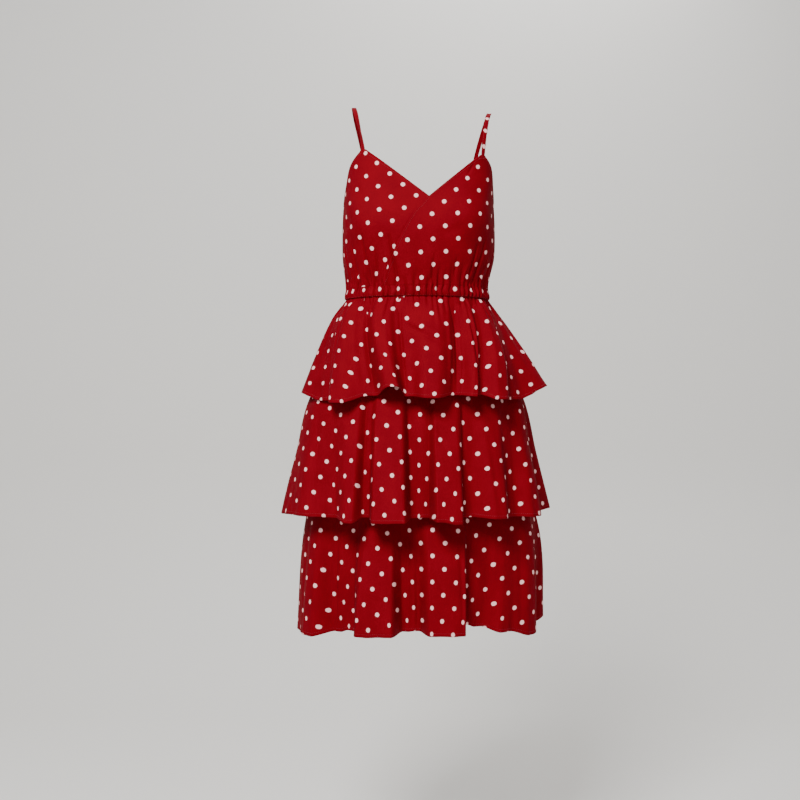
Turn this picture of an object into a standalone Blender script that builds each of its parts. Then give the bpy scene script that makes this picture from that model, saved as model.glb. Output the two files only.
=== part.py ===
"""A strappy tiered dress in dotted crepe, filled out as it is when worn.

The origin lies between the tops of the two shoulder straps, +Z is up, the front faces -Y, and +X is on
the right of someone who looks at the front. Angles run round the dress in degrees: 0 is the front, 90 is
the side at +X, 180 is the back. Tables are in millimetres and degrees, the mesh is in metres.
"""
import math
from typing import NamedTuple

import bmesh
import bpy

MM = 0.001

# Cloth and seams
CLOTH = 1.4
SIDE_SEAM_SHIFT = 0.2
WRAP_LIFT = 3.2

# The edges of flared and bulging walls tilt towards each other, so the sheets' own edges stand apart
# by the seam's 0.3 mm and what the tilt takes up
CASING_TOP_GAP = 0.7
FLOUNCE_TOP_GAP = 1.0

# Heights of the seams and edges, measured from the tops of the straps
NECK_POINT_HEIGHT = -170.0
UNDERARM_HEIGHT = -170.0
BACK_TOP_HEIGHT = -166.0
CASING_TOP_HEIGHT = -321.0
WAIST_SEAM_HEIGHT = -340.0
TIER_SEAM_HEIGHTS = (WAIST_SEAM_HEIGHT, -452.0, -668.0)
TIER_HEM_HEIGHTS = (-516.0, -719.0, -913.0)
UNDERSKIRT_END_HEIGHT = -677.0

# Straps
STRAP_WIDTH = 8.0
STRAP_THICKNESS = 1.4
STRAP_STEPS_PER_ROW = 4

# Mesh fineness
STEPS_PER_FOLD = 4
TIER_LEVELS = 5
UNDERSKIRT_COLUMNS = 72
UNDERSKIRT_LEVELS = 3
CASING_PUCKERS = 76
STEPS_PER_PUCKER = 2
CASING_LEVELS = 2
PANEL_LEVELS = 8
BACK_COLUMNS = 22

# Gathered elastic casing
CASING_PUCKER_DEPTH = 1.5
CASING_BULGE = 1.6



class Form(NamedTuple):
    """The level outline that the cloth is filled out to at one height."""

    height: float
    left: float
    right: float
    front: float
    back: float
    squareness: float


BODICE_FORMS = (
    Form(-345.0, 132.0, 124.0, 93.0, 90.0, 2.05),
    Form(-310.0, 133.0, 124.0, 97.0, 90.0, 2.10),
    Form(-265.0, 138.0, 134.0, 106.0, 91.0, 2.20),
    Form(-210.0, 138.0, 134.0, 112.0, 93.0, 2.35),
    Form(-170.0, 136.0, 132.0, 104.0, 94.0, 2.55),
    Form(-120.0, 132.0, 133.0, 91.0, 90.0, 2.75),
    Form(-70.0, 122.0, 126.0, 82.0, 84.0, 2.80),
)

UNDERSKIRT_FORMS = (
    Form(-680.0, 186.0, 185.0, 120.0, 120.0, 2.0),
    Form(-560.0, 172.0, 170.0, 118.0, 118.0, 2.0),
    Form(-452.0, 150.0, 148.0, 110.0, 110.0, 2.0),
    Form(-400.0, 140.0, 135.0, 102.0, 100.0, 2.0),
    Form(-340.0, 129.7, 121.7, 90.7, 87.7, 2.0),
)


class Fullness(NamedTuple):
    """A soft rounding of the bodice where its darts and gathers give it room."""

    angle: float
    height: float
    out: float
    angle_spread: float
    height_spread: float


BUST_FULLNESS = (
    Fullness(-37.0, -207.0, 11.0, 23.0, 40.0),
    Fullness(37.0, -207.0, 11.0, 23.0, 40.0),
)


class Gather(NamedTuple):
    """A groove that runs up the bodice from the elastic casing."""

    angle: float
    lean: float
    depth: float
    reach: float
    width: float


BODICE_GATHERS = (
    Gather(-78.0, -2.0, 2.5, 60.0, 5.0),
    Gather(-57.0, 3.0, 3.0, 70.0, 5.0),
    Gather(-40.0, 5.0, 4.0, 85.0, 5.0),
    Gather(-19.0, 4.0, 3.2, 75.0, 5.0),
    Gather(12.0, -3.0, 1.6, 40.0, 5.0),
    Gather(35.0, -4.0, 2.8, 60.0, 5.0),
    Gather(50.0, -5.0, 3.6, 80.0, 5.0),
    Gather(68.0, -3.0, 3.0, 70.0, 5.0),
    Gather(108.0, 2.0, 2.6, 60.0, 6.0),
    Gather(133.0, -3.0, 3.2, 75.0, 6.0),
    Gather(160.0, 2.0, 2.4, 55.0, 6.0),
    Gather(186.0, -2.0, 3.0, 70.0, 6.0),
    Gather(212.0, 3.0, 2.6, 60.0, 6.0),
    Gather(238.0, 2.0, 3.2, 80.0, 6.0),
    Gather(258.0, -2.0, 2.4, 55.0, 5.0),
)


class EdgePoint(NamedTuple):
    """A point on the upper edge of a front panel, from the crossing at the centre to the side seam."""

    column: int
    x: float
    height: float


RIGHT_PANEL_EDGE = (
    EdgePoint(0, 15.0, NECK_POINT_HEIGHT),
    EdgePoint(8, -96.0, -82.0),
    EdgePoint(9, -103.5, -82.0),
    EdgePoint(13, -123.5, -108.0),
    EdgePoint(16, -131.0, -142.0),
    EdgePoint(19, -136.0, UNDERARM_HEIGHT),
)
LEFT_PANEL_EDGE = (
    EdgePoint(0, 15.0, NECK_POINT_HEIGHT),
    EdgePoint(8, 104.5, -92.0),
    EdgePoint(9, 112.0, -92.0),
    EdgePoint(13, 125.0, -112.0),
    EdgePoint(16, 129.5, -143.0),
    EdgePoint(19, 132.0, UNDERARM_HEIGHT),
)
WRAP_REACH_AT_WAIST = 30.0
WRAP_LIFT_HELD_TO = 0.5


class TierLevel(NamedTuple):
    """A flounce's mean outline at a share of the way from its seam to its hem."""

    share: float
    left: float
    right: float
    front: float
    back: float


class Fold(NamedTuple):
    """A crest (out > 0) or a trough (out < 0) of a flounce, with its place at the seam and at the hem."""

    seam_angle: float
    hem_angle: float
    out: float
    lift: float
    lean: float


class FoldGrowth(NamedTuple):
    """The share of a flounce's fold depth that it has at its seam, and how late the rest comes."""

    at_seam: float
    power: float


TIER_FOLD_GROWTH = (FoldGrowth(0.20, 0.8), FoldGrowth(0.08, 1.1), FoldGrowth(0.08, 1.1))

TIER_LEVEL_TABLES = (
    (
        TierLevel(0.0, 132.0, 124.0, 93.0, 90.0),
        TierLevel(0.2, 156.0, 145.0, 108.0, 105.0),
        TierLevel(0.6, 184.0, 184.0, 137.0, 134.0),
        TierLevel(1.0, 207.0, 216.0, 164.0, 161.0),
    ),
    (
        TierLevel(0.0, 152.7, 150.7, 112.9, 112.9),
        TierLevel(0.24, 196.0, 186.0, 131.0, 131.0),
        TierLevel(0.6, 218.0, 206.0, 154.0, 154.0),
        TierLevel(1.0, 241.0, 226.0, 178.0, 178.0),
    ),
    (
        TierLevel(0.0, 187.2, 186.2, 122.2, 122.2),
        TierLevel(0.24, 203.0, 208.0, 130.0, 130.0),
        TierLevel(0.6, 211.0, 217.0, 147.0, 150.0),
        TierLevel(1.0, 214.0, 216.0, 158.0, 164.0),
    ),
)

TIER_FOLD_TABLES = (
    (
        Fold(-92.0, -90.0, 5.0, 10.0, 0.0),
        Fold(-76.0, -57.0, -12.0, -4.0, 0.0),
        Fold(-62.0, -42.0, 9.0, -8.0, 0.0),
        Fold(-43.0, -25.5, -20.0, 4.0, 0.0),
        Fold(-31.0, -13.5, 12.0, 19.0, 6.0),
        Fold(-15.0, -6.0, -14.0, 3.0, 0.0),
        Fold(7.0, 4.5, 10.0, 0.0, 0.0),
        Fold(31.0, 18.0, -17.0, 5.0, 0.0),
        Fold(39.0, 24.0, 6.0, 3.0, 2.0),
        Fold(47.0, 27.5, -12.0, 6.0, 0.0),
        Fold(58.0, 37.0, 11.0, -2.0, 0.0),
        Fold(75.0, 52.0, -15.0, -2.0, 0.0),
        Fold(93.0, 88.0, 12.0, 22.0, 0.0),
        Fold(112.0, 110.0, -16.0, 2.0, 0.0),
        Fold(130.0, 128.0, 14.0, 6.0, -4.0),
        Fold(147.0, 144.0, -18.0, 0.0, 0.0),
        Fold(163.0, 162.0, 13.0, -3.0, 3.0),
        Fold(180.0, 180.0, -20.0, 5.0, 0.0),
        Fold(195.0, 197.0, 14.0, 8.0, -4.0),
        Fold(211.0, 213.0, -16.0, 0.0, 0.0),
        Fold(227.0, 230.0, 12.0, 3.0, 0.0),
        Fold(247.0, 250.0, -12.0, 2.0, 0.0),
    ),
    (
        Fold(-92.0, -90.0, 6.0, -2.0, 0.0),
        Fold(-74.0, -64.0, 1.0, 0.0, 0.0),
        Fold(-57.0, -40.0, -10.0, 1.0, 0.0),
        Fold(-34.0, -30.0, 10.0, -5.0, 4.0),
        Fold(-27.0, -24.0, -18.0, 3.0, 0.0),
        Fold(-21.0, -17.5, 14.0, -4.0, 0.0),
        Fold(-11.0, -9.0, 14.0, -3.0, 6.0),
        Fold(-6.0, -3.0, -30.0, 2.0, 0.0),
        Fold(2.5, 2.5, -26.0, 3.0, 0.0),
        Fold(8.0, 7.5, 14.0, -1.0, 0.0),
        Fold(18.0, 14.0, 14.0, -5.0, 5.0),
        Fold(25.0, 21.0, -20.0, 4.0, 0.0),
        Fold(40.0, 36.0, 8.0, 1.0, 0.0),
        Fold(55.0, 46.5, -14.0, 1.0, 0.0),
        Fold(68.0, 60.0, 8.0, 0.0, 0.0),
        Fold(84.0, 78.0, -14.0, 2.0, 0.0),
        Fold(101.0, 100.0, 12.0, 5.0, 0.0),
        Fold(116.0, 117.0, -18.0, 2.0, 0.0),
        Fold(131.0, 132.0, 16.0, -3.0, 4.0),
        Fold(148.0, 148.5, -24.0, 3.0, 0.0),
        Fold(166.0, 165.0, 16.0, -4.0, -4.0),
        Fold(184.0, 183.0, -28.0, 4.0, 0.0),
        Fold(201.0, 201.0, 16.0, -3.0, 4.0),
        Fold(219.0, 219.0, -20.0, 2.0, 0.0),
        Fold(240.0, 241.0, 10.0, 0.0, 0.0),
        Fold(254.0, 256.0, -6.0, 0.0, 0.0),
    ),
    (
        Fold(-95.0, -95.0, 5.0, -14.0, 0.0),
        Fold(-78.0, -78.0, 4.0, -15.0, 0.0),
        Fold(-62.0, -62.0, 10.0, -14.0, 3.0),
        Fold(-47.0, -48.0, -26.0, -6.0, 0.0),
        Fold(-34.0, -38.0, -24.0, -1.0, 0.0),
        Fold(-25.0, -27.5, 13.0, -3.0, 0.0),
        Fold(-15.0, -16.0, 13.0, -1.0, 5.0),
        Fold(-8.0, -7.5, -30.0, 2.0, 0.0),
        Fold(-3.0, -2.0, -24.0, 4.0, 0.0),
        Fold(5.0, 5.0, 14.0, 2.0, 0.0),
        Fold(18.5, 16.5, 14.0, 1.0, 5.0),
        Fold(24.5, 22.5, -28.0, 12.0, 0.0),
        Fold(33.0, 29.0, -26.0, 8.0, 0.0),
        Fold(47.0, 43.0, -6.0, -2.0, 0.0),
        Fold(61.0, 62.0, 7.0, -12.0, 0.0),
        Fold(78.0, 79.0, -16.0, -6.0, 0.0),
        Fold(97.0, 97.0, 9.0, 4.0, 0.0),
        Fold(113.0, 114.0, -18.0, 2.0, 0.0),
        Fold(130.0, 131.0, 15.0, -4.0, -4.0),
        Fold(147.0, 148.0, -24.0, 2.0, 0.0),
        Fold(165.0, 165.0, 15.0, -5.0, 4.0),
        Fold(183.0, 183.0, -26.0, 3.0, 0.0),
        Fold(201.0, 202.0, 15.0, -6.0, -4.0),
        Fold(220.0, 220.0, -20.0, -2.0, 0.0),
        Fold(242.0, 242.0, 8.0, -9.0, 0.0),
    ),
)


class StrapPoint(NamedTuple):
    """A point on a strap's centre line between its two ends, and the heading of its width in plan."""

    x: float
    y: float
    z: float
    heading: float


RIGHT_STRAP = (
    StrapPoint(-104.5, -60.0, -50.0, -72.0),
    StrapPoint(-113.0, -36.0, -14.0, -30.0),
    StrapPoint(-118.0, -4.0, 4.5, 0.0),
    StrapPoint(-116.0, 30.0, -8.0, 12.0),
    StrapPoint(-105.0, 60.0, -55.0, 26.0),
    StrapPoint(-94.0, 76.0, -115.0, 30.0),
)
LEFT_STRAP = (
    StrapPoint(113.0, -59.0, -58.0, 28.0),
    StrapPoint(119.0, -37.0, -22.0, 12.0),
    StrapPoint(125.0, -4.0, -5.5, 0.0),
    StrapPoint(121.0, 30.0, -16.0, -12.0),
    StrapPoint(108.0, 60.0, -60.0, -26.0),
    StrapPoint(95.0, 76.0, -117.0, -30.0),
)
STRAP_COLUMN_ON_FRONT = 8
STRAP_COLUMN_ON_BACK = 6
STRAP_END_GAP = 1.0

CREPE_RED = (0.376, 0.003, 0.010)
CREPE_ROUGHNESS = 0.82


def clear_scene():
    """Remove every object that the file opens with."""
    for item in list(bpy.data.objects):
        bpy.data.objects.remove(item, do_unlink=True)


def between(low, high, share):
    """Return the value at a share of the way from low to high."""
    return low + (high - low) * share


def eased(share):
    """Return a share that starts and ends gently."""
    return 0.5 - 0.5 * math.cos(math.pi * share)


def read_table(rows, key):
    """Read the columns of a table at a value of its first column, on a smooth curve through the rows."""
    rows = sorted(rows)
    key = min(max(key, rows[0][0]), rows[-1][0])
    index = 0
    while index < len(rows) - 2 and key > rows[index + 1][0]:
        index += 1
    here, after = rows[index], rows[index + 1]
    before = rows[max(index - 1, 0)]
    beyond = rows[min(index + 2, len(rows) - 1)]
    span = after[0] - here[0]
    share = (key - here[0]) / span
    columns = []
    for column in range(1, len(here)):
        slope_here = (after[column] - before[column]) / (after[0] - before[0]) * span
        slope_after = (beyond[column] - here[column]) / (beyond[0] - here[0]) * span
        start_part = (2 * share ** 3 - 3 * share ** 2 + 1) * here[column]
        end_part = (3 * share ** 2 - 2 * share ** 3) * after[column]
        start_slope = (share ** 3 - 2 * share ** 2 + share) * slope_here
        end_slope = (share ** 3 - share ** 2) * slope_after
        columns.append(start_part + end_part + start_slope + end_slope)
    return columns


def outline_point(outline, angle):
    """Return the point of a level outline at an angle, with its outward direction in plan."""
    left, right, front, back, squareness = outline
    across = math.sin(math.radians(angle))
    ahead = math.cos(math.radians(angle))
    half_width = right if across > 0 else left
    depth = front if ahead > 0 else back
    bend = 2.0 / squareness
    x = math.copysign(half_width * abs(across) ** bend, across)
    y = -math.copysign(depth * abs(ahead) ** bend, ahead)
    steep = squareness - 1.0
    normal_x = math.copysign((abs(x) / half_width) ** steep / half_width, x)
    normal_y = math.copysign((abs(y) / depth) ** steep / depth, y)
    size = math.hypot(normal_x, normal_y)
    return x, y, normal_x / size, normal_y / size


def pushed_out(outline, angle, height, out, along=0.0):
    """Return a point that stands out from an outline, and is moved along it."""
    x, y, normal_x, normal_y = outline_point(outline, angle)
    return (
        x + normal_x * out - normal_y * along,
        y + normal_y * out + normal_x * along,
        height,
    )


def turned(angle, centre):
    """Return the difference of two angles, between -180 and 180 degrees."""
    return (angle - centre + 180.0) % 360.0 - 180.0


def bell(distance, spread):
    """Return 1 at no distance, and fall away over the spread."""
    return math.exp(-((distance / spread) ** 2))


def bodice_relief(angle, height):
    """Return how far the bodice stands out from its form, with its fullness and its gathers."""
    out = 0.0
    for row in BUST_FULLNESS:
        turn = turned(angle, row.angle)
        out += row.out * bell(turn, row.angle_spread) * bell(height - row.height, row.height_spread)
    rise = height - CASING_TOP_HEIGHT
    for row in BODICE_GATHERS:
        if rise < row.reach:
            share = max(rise, 0.0) / row.reach
            turn = turned(angle, row.angle + row.lean * share)
            out -= row.depth * bell(turn, row.width) * (1.0 - eased(share))
    return out


def bodice_point(angle, height, lift=0.0):
    """Return a point of the bodice."""
    outline = read_table(BODICE_FORMS, height)
    return pushed_out(outline, angle, height, bodice_relief(angle, height) + lift)


def front_panel_grid(edge_rows, wrap_angle, side_angle, wrap_lift):
    """Return the rows of points of a front panel, from the casing up to its neck and armhole edges."""
    columns = edge_rows[-1].column
    grid = []
    for level in range(PANEL_LEVELS + 1):
        share = level / PANEL_LEVELS
        row = []
        for column in range(columns + 1):
            x, top_height = read_edge(edge_rows, column)
            top_angle = angle_at(x, top_height)
            across = column / columns
            angle = between(between(wrap_angle, side_angle, across), top_angle, share)
            height = between(CASING_TOP_HEIGHT + CASING_TOP_GAP, top_height, share)
            settled = max(across - WRAP_LIFT_HELD_TO, 0.0) / (1.0 - WRAP_LIFT_HELD_TO)
            x, y, z = bodice_point(angle, height, wrap_lift * (1.0 - eased(settled)))
            row.append((x, y - SIDE_SEAM_SHIFT, z))
        grid.append(row)
    return grid


def read_edge(edge_rows, column):
    """Return the distance from the centre and the height of a panel's upper edge at a column."""
    for start, end in zip(edge_rows, edge_rows[1:]):
        if column <= end.column:
            share = (column - start.column) / (end.column - start.column)
            return between(start.x, end.x, share), between(start.height, end.height, share)
    return edge_rows[-1].x, edge_rows[-1].height


def angle_at(x, height):
    """Return the angle at which the front of the bodice's form is this far from the centre."""
    left, right, _, _, squareness = read_table(BODICE_FORMS, height)
    half_width = right if x > 0 else left
    across = min(abs(x) / half_width, 1.0) ** (squareness / 2.0)
    return math.copysign(math.degrees(math.asin(across)), x)


def back_panel_grid():
    """Return the rows of points of the back, from the casing up to its straight upper edge."""
    grid = []
    for level in range(PANEL_LEVELS + 1):
        height = between(CASING_TOP_HEIGHT + CASING_TOP_GAP, BACK_TOP_HEIGHT, level / PANEL_LEVELS)
        row = []
        for column in range(BACK_COLUMNS + 1):
            angle = between(90.0, 270.0, column / BACK_COLUMNS)
            x, y, z = bodice_point(angle, height)
            row.append((x, y + SIDE_SEAM_SHIFT, z))
        grid.append(row)
    return grid


def casing_grid():
    """Return the rings of the gathered elastic casing, from its lower to its upper edge."""
    columns = CASING_PUCKERS * STEPS_PER_PUCKER
    grid = []
    for level in range(CASING_LEVELS + 1):
        share = level / CASING_LEVELS
        height = between(WAIST_SEAM_HEIGHT, CASING_TOP_HEIGHT, share)
        outline = read_table(BODICE_FORMS, height)
        bulge = CASING_BULGE * math.sin(math.pi * share)
        row = []
        for column in range(columns):
            angle = 360.0 * column / columns
            pucker = math.cos(math.radians(angle * CASING_PUCKERS))
            row.append(pushed_out(outline, angle, height, bulge + CASING_PUCKER_DEPTH * pucker))
        grid.append(row)
    return grid


def tier_point(tier, round_share, fall):
    """Return a point of a flounce.

    round_share counts the rows of its fold table, and fall runs from 0 at the seam to 1 at the hem.
    """
    folds = TIER_FOLD_TABLES[tier]
    index = int(round_share) % len(folds)
    here = folds[index]
    after = folds[(index + 1) % len(folds)]
    share = round_share - int(round_share)
    wrap = 360.0 if index == len(folds) - 1 else 0.0
    angle_here = between(here.seam_angle, here.hem_angle, fall)
    angle_after = between(after.seam_angle, after.hem_angle, fall) + wrap
    soft = eased(share)
    growth = TIER_FOLD_GROWTH[tier]
    depth = between(growth.at_seam, 1.0, fall ** growth.power)
    seam_hold = min(fall / 0.08, 1.0)
    out = between(here.out, after.out, soft) * depth * seam_hold
    lean = between(here.lean, after.lean, soft) * depth * seam_hold
    lift = between(here.lift, after.lift, soft) * fall ** 2
    outline = (*read_table(TIER_LEVEL_TABLES[tier], fall), 2.0)
    height = between(TIER_SEAM_HEIGHTS[tier] - FLOUNCE_TOP_GAP, TIER_HEM_HEIGHTS[tier], fall) + lift
    return pushed_out(outline, between(angle_here, angle_after, share), height, out, lean)


def tier_grid(tier):
    """Return the rings of a flounce, from its hem up to its seam."""
    columns = len(TIER_FOLD_TABLES[tier]) * STEPS_PER_FOLD
    return [
        [tier_point(tier, column / STEPS_PER_FOLD, 1.0 - level / TIER_LEVELS) for column in range(columns)]
        for level in range(TIER_LEVELS + 1)
    ]


def underskirt_grid():
    """Return the rings of the plain underskirt that carries the two lower flounces."""
    grid = []
    for level in range(UNDERSKIRT_LEVELS + 1):
        top_height = WAIST_SEAM_HEIGHT - FLOUNCE_TOP_GAP
        height = between(UNDERSKIRT_END_HEIGHT, top_height, level / UNDERSKIRT_LEVELS)
        outline = read_table(UNDERSKIRT_FORMS, height)
        row = []
        for column in range(UNDERSKIRT_COLUMNS):
            row.append(pushed_out(outline, 360.0 * column / UNDERSKIRT_COLUMNS, height, 0.0))
        grid.append(row)
    return grid


def strap_end(top_edge, column):
    """Return the end of a strap that stands on the upper edge of a panel, between two of its columns."""
    left, right = sorted((top_edge[column], top_edge[column + 1]))
    heading = math.degrees(math.atan2(right[1] - left[1], right[0] - left[0]))
    x, y, z = (between(low, high, 0.5) for low, high in zip(left, right))
    return StrapPoint(x, y, z + STRAP_END_GAP, heading)


def strap_grid(points, front_end, back_end):
    """Return the two edges of a strap, row by row along its centre line."""
    route = (front_end, *points, back_end)
    rows = [(index, *point) for index, point in enumerate(route)]
    grid = []
    for step in range((len(route) - 1) * STRAP_STEPS_PER_ROW + 1):
        x, y, z, heading = read_table(rows, step / STRAP_STEPS_PER_ROW)
        across = math.cos(math.radians(heading)) * STRAP_WIDTH / 2
        along = math.sin(math.radians(heading)) * STRAP_WIDTH / 2
        grid.append([(x - across, y - along, z), (x + across, y + along, z)])
    return grid


def crepe(name):
    """Make the matte red crepe of one piece."""
    material = bpy.data.materials.new(name + "_crepe")
    material.use_nodes = True
    surface = material.node_tree.nodes["Principled BSDF"]
    surface.inputs["Base Color"].default_value = (*CREPE_RED, 1.0)
    surface.inputs["Roughness"].default_value = CREPE_ROUGHNESS
    surface.inputs["Metallic"].default_value = 0.0
    return material


def cloth_piece(name, grid, closed, thickness, collection):
    """Make a piece of cloth from rows of points, as an open surface with a Solidify wall."""
    mesh = bpy.data.meshes.new(name)
    work = bmesh.new()
    rows = [[work.verts.new([value * MM for value in point]) for point in row] for row in grid]
    count = len(rows[0])
    for lower, upper in zip(rows, rows[1:]):
        for column in range(count if closed else count - 1):
            after = (column + 1) % count
            work.faces.new((lower[column], lower[after], upper[after], upper[column]))
    work.normal_update()
    work.to_mesh(mesh)
    work.free()
    mesh.shade_smooth()
    piece = bpy.data.objects.new(name, mesh)
    collection.objects.link(piece)
    mesh.materials.append(crepe(name))
    wall = piece.modifiers.new("wall", "SOLIDIFY")
    wall.thickness = thickness * MM
    wall.offset = 0.0
    return piece


def build_dress():
    """Make every piece of the dress in its own collection."""
    clear_scene()
    collection = bpy.data.collections.new("tiered_dress")
    bpy.context.scene.collection.children.link(collection)
    right_front = front_panel_grid(RIGHT_PANEL_EDGE, WRAP_REACH_AT_WAIST, -90.0, 0.0)
    left_front = front_panel_grid(LEFT_PANEL_EDGE, -WRAP_REACH_AT_WAIST, 90.0, WRAP_LIFT)
    back = back_panel_grid()
    cloth_piece("right_front", right_front, False, CLOTH, collection)
    cloth_piece("left_front", left_front, False, CLOTH, collection)
    cloth_piece("back_bodice", back, False, CLOTH, collection)
    cloth_piece("waist_casing", casing_grid(), True, CLOTH, collection)
    cloth_piece("underskirt", underskirt_grid(), True, CLOTH, collection)
    for tier in range(len(TIER_FOLD_TABLES)):
        cloth_piece("tier_" + str(tier + 1), tier_grid(tier), True, CLOTH, collection)
    right_column_on_back = BACK_COLUMNS - 1 - STRAP_COLUMN_ON_BACK
    straps = (
        ("right_strap", RIGHT_STRAP, right_front, right_column_on_back),
        ("left_strap", LEFT_STRAP, left_front, STRAP_COLUMN_ON_BACK),
    )
    for name, points, front, back_column in straps:
        front_end = strap_end(front[-1], STRAP_COLUMN_ON_FRONT)
        back_end = strap_end(back[-1], back_column)
        cloth_piece(name, strap_grid(points, front_end, back_end), False, STRAP_THICKNESS, collection)


build_dress()
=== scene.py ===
"""The looks of a strappy tiered dress in dotted crepe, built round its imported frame.

Tables and sizes are in millimetres and degrees, meshes are in metres. Angles run round the dress: 0 is the
front (-Y), 90 is the side at +X, 180 is the back. The origin lies between the tops of the straps.
"""
import logging
import math
from dataclasses import dataclass, field
from enum import Enum
from typing import Callable, NamedTuple, Sequence

import bpy
import numpy as np
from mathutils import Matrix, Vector


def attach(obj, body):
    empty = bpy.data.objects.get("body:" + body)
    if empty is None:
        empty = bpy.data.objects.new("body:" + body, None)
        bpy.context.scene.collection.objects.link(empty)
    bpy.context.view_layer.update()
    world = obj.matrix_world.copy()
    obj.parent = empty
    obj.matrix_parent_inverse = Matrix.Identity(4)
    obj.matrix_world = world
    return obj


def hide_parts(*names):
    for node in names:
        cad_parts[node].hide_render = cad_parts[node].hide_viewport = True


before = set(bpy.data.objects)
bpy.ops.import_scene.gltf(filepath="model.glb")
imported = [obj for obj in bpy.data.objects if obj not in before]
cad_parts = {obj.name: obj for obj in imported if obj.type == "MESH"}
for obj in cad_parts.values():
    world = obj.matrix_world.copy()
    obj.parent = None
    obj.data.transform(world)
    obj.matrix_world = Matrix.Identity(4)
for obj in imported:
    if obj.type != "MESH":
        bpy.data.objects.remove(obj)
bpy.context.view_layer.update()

LOG = logging.getLogger("tiered_dress")

MM = 0.001
SHELL = 0.5
# How far a turned edge lies behind the cloth, and how wide a hem is turned
TURNING = 1.0
TURNED_WIDTH = 6.0

# The frame's heights, below the tops of the straps
NECK_POINT_HEIGHT = -170.0
UNDERARM_HEIGHT = -170.0
BACK_TOP_HEIGHT = -166.0
CASING_TOP_HEIGHT = -321.0
WAIST_SEAM_HEIGHT = -340.0
CASING_HEIGHT = CASING_TOP_HEIGHT - WAIST_SEAM_HEIGHT
UNDERSKIRT_END_HEIGHT = -677.0

# How far the fronts and the back are moved apart at the side seams, and the underskirt below the waist seam
SIDE_SEAM_SHIFT = 0.05
SEAM_GAP = 1.0
# The angle from the front at which each front's crossing edge meets the casing
WRAP_REACH_AT_WAIST = 30.0

# The steps in which the frame counts places along the upper edges of a front and of the back
FRONT_STEPS = 19.0
BACK_STEPS = 22.0
# How many millimetres of the bodice's cloth one degree is
BODICE_DEGREE = 2.2


class Held(Enum):
    """How a sheet of cloth is carried."""

    HUNG = "hung"
    GATHERED = "gathered"
    STRETCHED = "stretched"


class Slot(Enum):
    """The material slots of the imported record."""

    CREPE = "dotted_crepe"
    STRAP = "strap_crepe"


class FormRow(NamedTuple):
    """The level outline that the cloth is filled out to at one height."""

    height: float
    left: float
    right: float
    front: float
    back: float
    squareness: float


class FullnessRow(NamedTuple):
    """A soft rounding of the bodice where its darts and gathers give it room."""

    angle: float
    height: float
    out: float
    angle_spread: float
    height_spread: float


class GatherRow(NamedTuple):
    """A groove that runs up the bodice from the elastic casing."""

    angle: float
    lean: float
    depth: float
    reach: float
    width: float


class CreaseRow(NamedTuple):
    """A soft ridge (rise > 0) or trough (rise < 0) in the cloth, from one place to another.

    Places are an angle, and for a bodice panel a height, or for a flounce the share of the way to its hem.
    """

    start_angle: float
    start_place: float
    end_angle: float
    end_place: float
    rise: float
    width: float


class EdgeRow(NamedTuple):
    """A point on the upper edge of a front panel, at a step from its crossing to its side."""

    step: float
    x: float
    height: float


class TierRow(NamedTuple):
    """A flounce's mean outline at a share of the way from its seam to its hem."""

    share: float
    left: float
    right: float
    front: float
    back: float


class FoldRow(NamedTuple):
    """A crest (out > 0) or a trough (out < 0) of a flounce, with its place at the seam and at the hem."""

    seam_angle: float
    hem_angle: float
    out: float
    lift: float
    lean: float


class StrapRow(NamedTuple):
    """A point on a strap's centre line, and the heading of its width in plan."""

    x: float
    y: float
    z: float
    heading: float


def rows_of(kind: Callable[..., tuple], table: Sequence[Sequence[float]]) -> tuple:
    """Return a table's rows with their columns named."""
    return tuple(kind(*map(float, row)) for row in table)


BODICE_FORMS = rows_of(FormRow, (
    (-345, 132, 124, 93, 90, 2.05),
    (-310, 133, 124, 97, 90, 2.10),
    (-265, 138, 134, 106, 91, 2.20),
    (-210, 138, 134, 112, 93, 2.35),
    (-170, 136, 132, 104, 94, 2.55),
    (-120, 132, 133, 91, 90, 2.75),
    (-70, 122, 126, 82, 84, 2.80),
))

UNDERSKIRT_FORMS = rows_of(FormRow, (
    (-680, 186, 185, 120, 120, 2),
    (-560, 172, 170, 118, 118, 2),
    (-452, 150, 148, 110, 110, 2),
    (-400, 140, 135, 102, 100, 2),
    (-340, 129.7, 121.7, 90.7, 87.7, 2),
))

BUST_FULLNESS = rows_of(FullnessRow, (
    (-37, -207, 11, 23, 40),
    (37, -207, 11, 23, 40),
))

BODICE_GATHERS = rows_of(GatherRow, (
    (-78, -2, 2.5, 60, 5),
    (-57, 3, 3, 70, 5),
    (-40, 5, 4, 85, 5),
    (-19, 4, 3.2, 75, 5),
    (12, -3, 1.6, 40, 5),
    (35, -4, 2.8, 60, 5),
    (50, -5, 3.6, 80, 5),
    (68, -3, 3, 70, 5),
    (108, 2, 2.6, 60, 6),
    (133, -3, 3.2, 75, 6),
    (160, 2, 2.4, 55, 6),
    (186, -2, 3, 70, 6),
    (212, 3, 2.6, 60, 6),
    (238, 2, 3.2, 80, 6),
    (258, -2, 2.4, 55, 5),
))


def to_linear(hex_colour: str) -> tuple[float, float, float, float]:
    """Turn an sRGB hex colour into linear RGBA.

    Args:
        hex_colour: six hex digits, with or without a leading #.

    Returns:
        The linear red, green and blue, and an alpha of 1.
    """
    digits = hex_colour.lstrip("#")
    linear = []
    for start in (0, 2, 4):
        value = int(digits[start:start + 2], 16) / 255.0
        linear.append(value / 12.92 if value <= 0.04045 else ((value + 0.055) / 1.055) ** 2.4)
    return (*linear, 1.0)


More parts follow.
